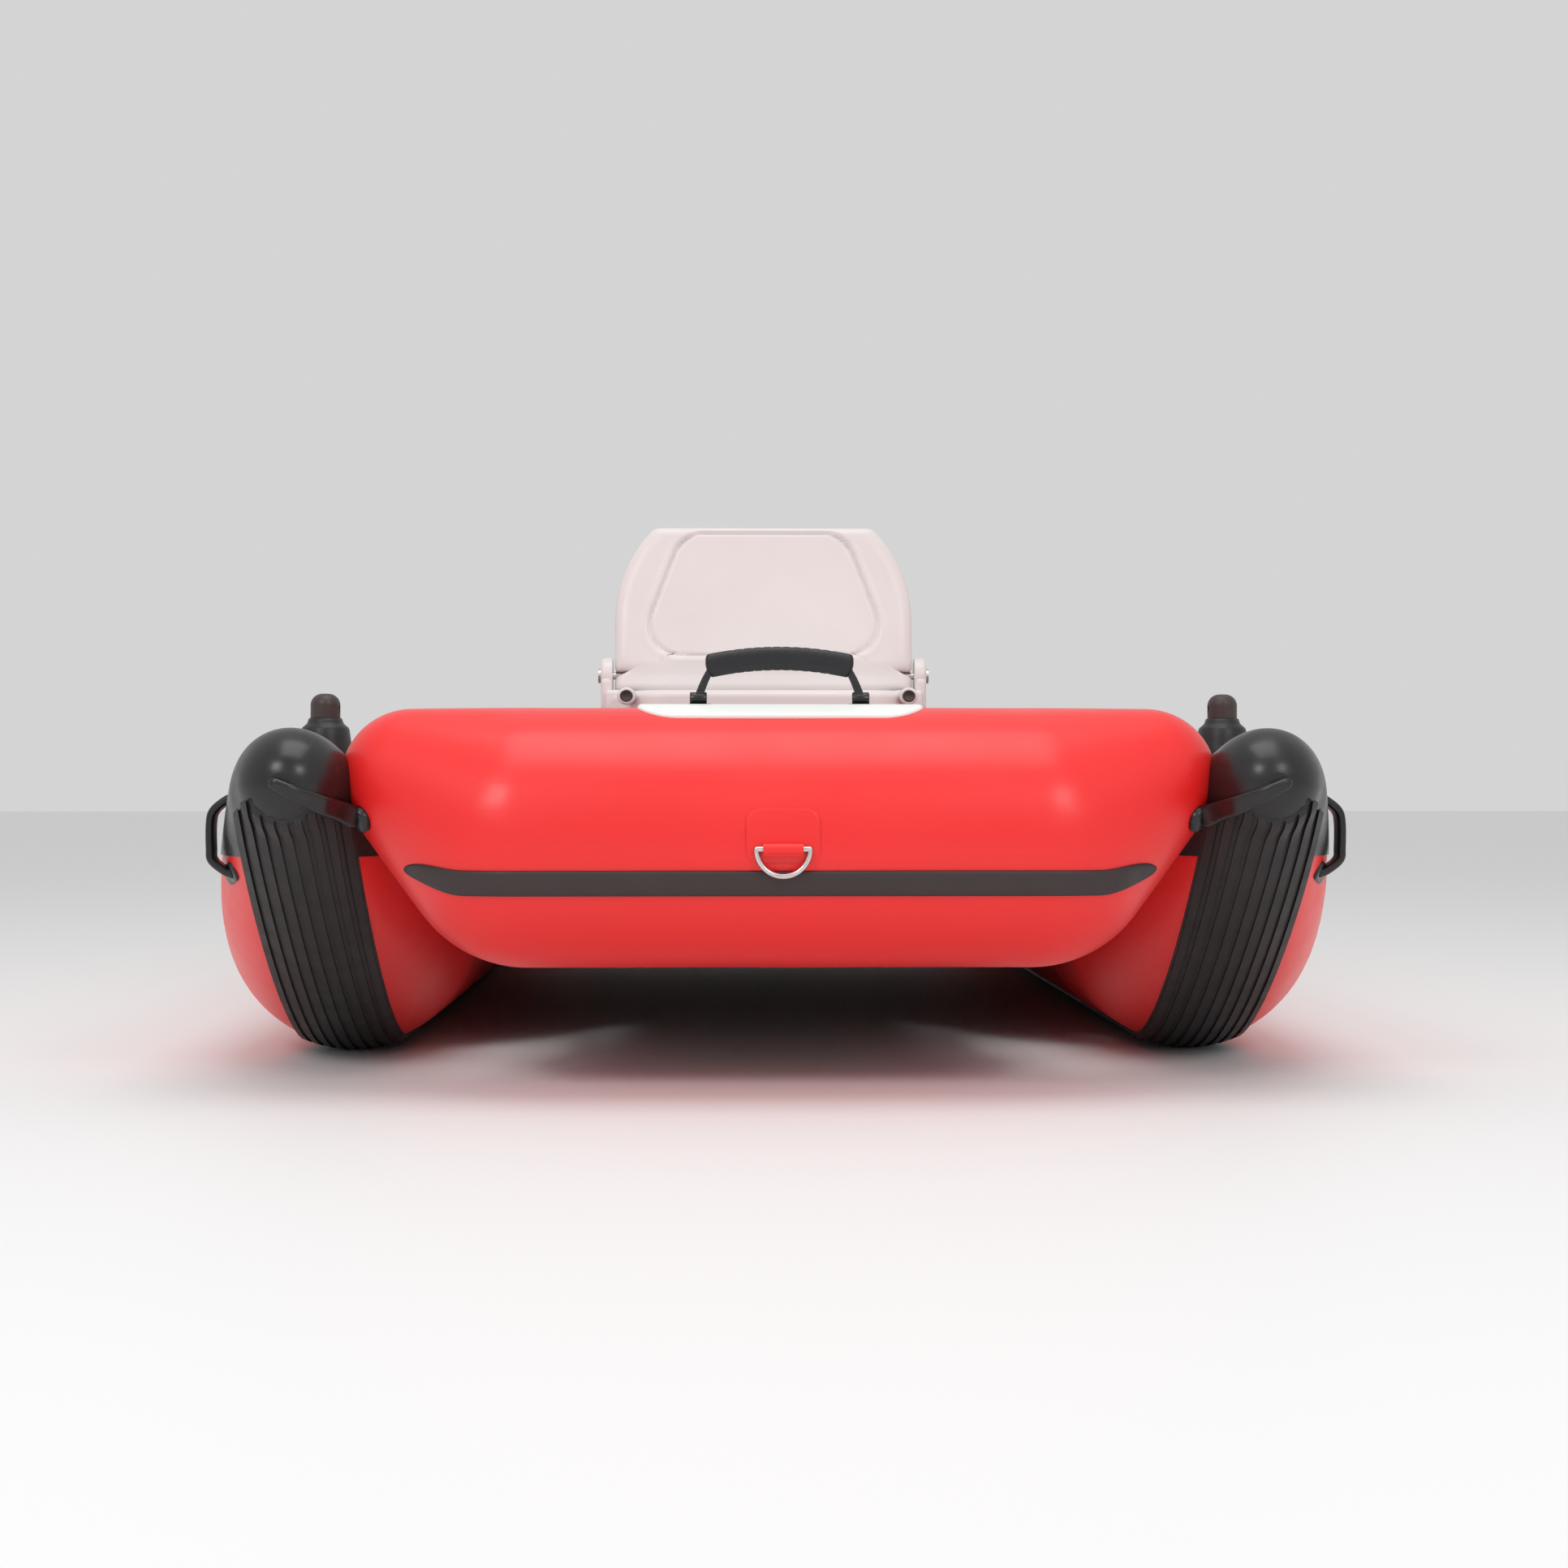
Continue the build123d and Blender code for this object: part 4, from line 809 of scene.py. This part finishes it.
# ---- fasteners ----
def screw_group():
    """Geometry nodes that put a dished screw head on each point of a mesh, turned along its normal."""
    group = bpy.data.node_groups.new("screws", "GeometryNodeTree")
    face = group.interface
    face.new_socket("Places", in_out="INPUT", socket_type="NodeSocketGeometry")
    for label, value in (("Radius", 0.004), ("Height", 0.0015)):
        face.new_socket(label, in_out="INPUT", socket_type="NodeSocketFloat").default_value = value
    face.new_socket("Metal", in_out="INPUT", socket_type="NodeSocketMaterial")
    face.new_socket("Screws", in_out="OUTPUT", socket_type="NodeSocketGeometry")
    add, link = group.nodes.new, group.links.new
    source, sink = add("NodeGroupInput"), add("NodeGroupOutput")
    head = add("GeometryNodeMeshUVSphere")
    head.inputs["Segments"].default_value = 24
    head.inputs["Rings"].default_value = 12
    link(source.outputs["Radius"], head.inputs["Radius"])
    ratio = add("ShaderNodeMath")
    ratio.operation = "DIVIDE"
    link(source.outputs["Height"], ratio.inputs[0])
    link(source.outputs["Radius"], ratio.inputs[1])
    scale = add("ShaderNodeCombineXYZ")
    scale.inputs["X"].default_value = scale.inputs["Y"].default_value = 1.0
    link(ratio.outputs[0], scale.inputs["Z"])
    flat = add("GeometryNodeTransform")
    link(head.outputs["Mesh"], flat.inputs["Geometry"])
    link(scale.outputs[0], flat.inputs["Scale"])
    slot_cut = add("GeometryNodeMeshCylinder")
    slot_cut.inputs["Vertices"].default_value = 6
    slot_cut.inputs["Depth"].default_value = 0.004
    third = add("ShaderNodeMath")
    third.operation = "MULTIPLY"
    third.inputs[1].default_value = 0.42
    link(source.outputs["Radius"], third.inputs[0])
    link(third.outputs[0], slot_cut.inputs["Radius"])
    cut = add("GeometryNodeMeshBoolean")
    link(flat.outputs[0], cut.inputs["Mesh 1"])
    link(slot_cut.outputs["Mesh"], cut.inputs["Mesh 2"])
    on_points = add("GeometryNodeInstanceOnPoints")
    link(source.outputs["Places"], on_points.inputs["Points"])
    link(cut.outputs["Mesh"], on_points.inputs["Instance"])
    normal = add("GeometryNodeInputNamedAttribute")
    normal.data_type = "FLOAT_VECTOR"
    normal.inputs["Name"].default_value = "out"
    align = add("FunctionNodeAlignRotationToVector")
    align.axis = "Z"
    link(normal.outputs[0], align.inputs["Vector"])
    link(align.outputs[0], on_points.inputs["Rotation"])
    real = add("GeometryNodeRealizeInstances")
    link(on_points.outputs[0], real.inputs[0])
    paint = add("GeometryNodeSetMaterial")
    link(real.outputs[0], paint.inputs["Geometry"])
    link(source.outputs["Metal"], paint.inputs["Material"])
    link(paint.outputs[0], sink.inputs[0])
    return group


def screws():
    """Screw heads: seat flange, motor pad, clamp plate and stern eyes."""
    places = []
    seat_low, seat_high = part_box("seat_box")
    for x in spread(seat_low.x + 0.03, seat_high.x - 0.03, 4):
        places += [((x, y, seat_low.z + 0.006), (0, 0, 1)) for y in (seat_low.y + 0.011, seat_high.y - 0.011)]
    for y in spread(seat_low.y + 0.09, seat_high.y - 0.09, 3):
        places += [((x, y, seat_low.z + 0.006), (0, 0, 1)) for x in (seat_low.x + 0.011, seat_high.x - 0.011)]
    for node, out in (("motor_pad_aft", 1), ("clamp_plate_inner", -1)):
        low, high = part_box(node)
        face = high.y if out > 0 else low.y
        places += [((x, face, z), (0, out, 0)) for x in (low.x + 0.02, 0, high.x - 0.02)
                   for z in (low.z + 0.018, high.z - 0.018)]
    for word, _ in SIDES:
        low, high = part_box(f"stern_eye_{word}")
        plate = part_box("transom")[1].y + 0.004
        places += [((x, plate, z), (0, 1, 0)) for x in (low.x + 0.009, high.x - 0.009)
                   for z in (low.z + 0.009, high.z - 0.009)]
    mesh = bpy.data.meshes.new("screws")
    mesh.from_pydata([p for p, _ in places], [], [])
    outs = mesh.attributes.new("out", "FLOAT_VECTOR", "POINT")
    for i, (_, out) in enumerate(places):
        outs.data[i].vector = out
    made = bpy.data.objects.new("screws", mesh)
    bpy.context.scene.collection.objects.link(made)
    modifier = made.modifiers.new("screws", "NODES")
    modifier.node_group = screw_group()
    settings = {"Metal": looks["steel"], "Radius": 0.0052, "Height": 0.0022}
    for item in modifier.node_group.interface.items_tree:
        if item.in_out == "INPUT" and item.name in settings:
            modifier[item.identifier] = settings[item.name]
    bpy.context.view_layer.update()
    graph = bpy.context.evaluated_depsgraph_get()
    made.data = bpy.data.meshes.new_from_object(made.evaluated_get(graph))
    made.modifiers.clear()
    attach(made, "hull")


# ---- floor, light and camera ----
def studio():
    """A pale floor, soft boxes and a camera low in front of the bow."""
    bpy.ops.mesh.primitive_plane_add(size=60, location=(0, 0, 0))
    ground = bpy.context.object
    ground.name = "studio_floor"
    g = Graph("studio_floor", (0.86, 0.86, 0.86), 0.6)
    ground.data.materials.append(g.material)
    for name, place, aim, size, power in (
            ("key", (-2.0, -4.4, 2.9), (0, -1.2, 0.3), 1.1, 34),
            ("fill", (1.9, -4.6, 2.7), (0, -1.2, 0.3), 1.1, 26),
            ("top", (0, -1.6, 4.6), (0, -0.8, 0), 3.0, 60)):
        lamp = bpy.data.objects.new(name, bpy.data.lights.new(name, "AREA"))
        lamp.data.size, lamp.data.energy = size, power
        lamp.location = place
        lamp.rotation_euler = (Vector(aim) - Vector(place)).to_track_quat("-Z", "Y").to_euler()
        bpy.context.scene.collection.objects.link(lamp)
    world = bpy.data.worlds.new("studio")
    world.use_nodes = True
    world.node_tree.nodes["Background"].inputs["Color"].default_value = (1, 1, 1, 1)
    world.node_tree.nodes["Background"].inputs["Strength"].default_value = 0.66
    bpy.context.scene.world = world
    bpy.context.scene.view_settings.view_transform = "Standard"
    camera = bpy.data.objects.new("camera", bpy.data.cameras.new("camera"))
    camera.data.sensor_width, camera.data.lens = 36.0, 59.07
    camera.location = (-0.07, -4.457, 0.365)
    camera.rotation_euler = (radians(90), 0, radians(-1.39))
    bpy.context.scene.collection.objects.link(camera)
    bpy.context.scene.camera = camera


pontoons()
bow_skin()
strake()
bow_fittings()
bow_handle()
side_handles()
backrest()
seat_pan()
seat_box()
air_floor()
swivels()
screws()
studio()
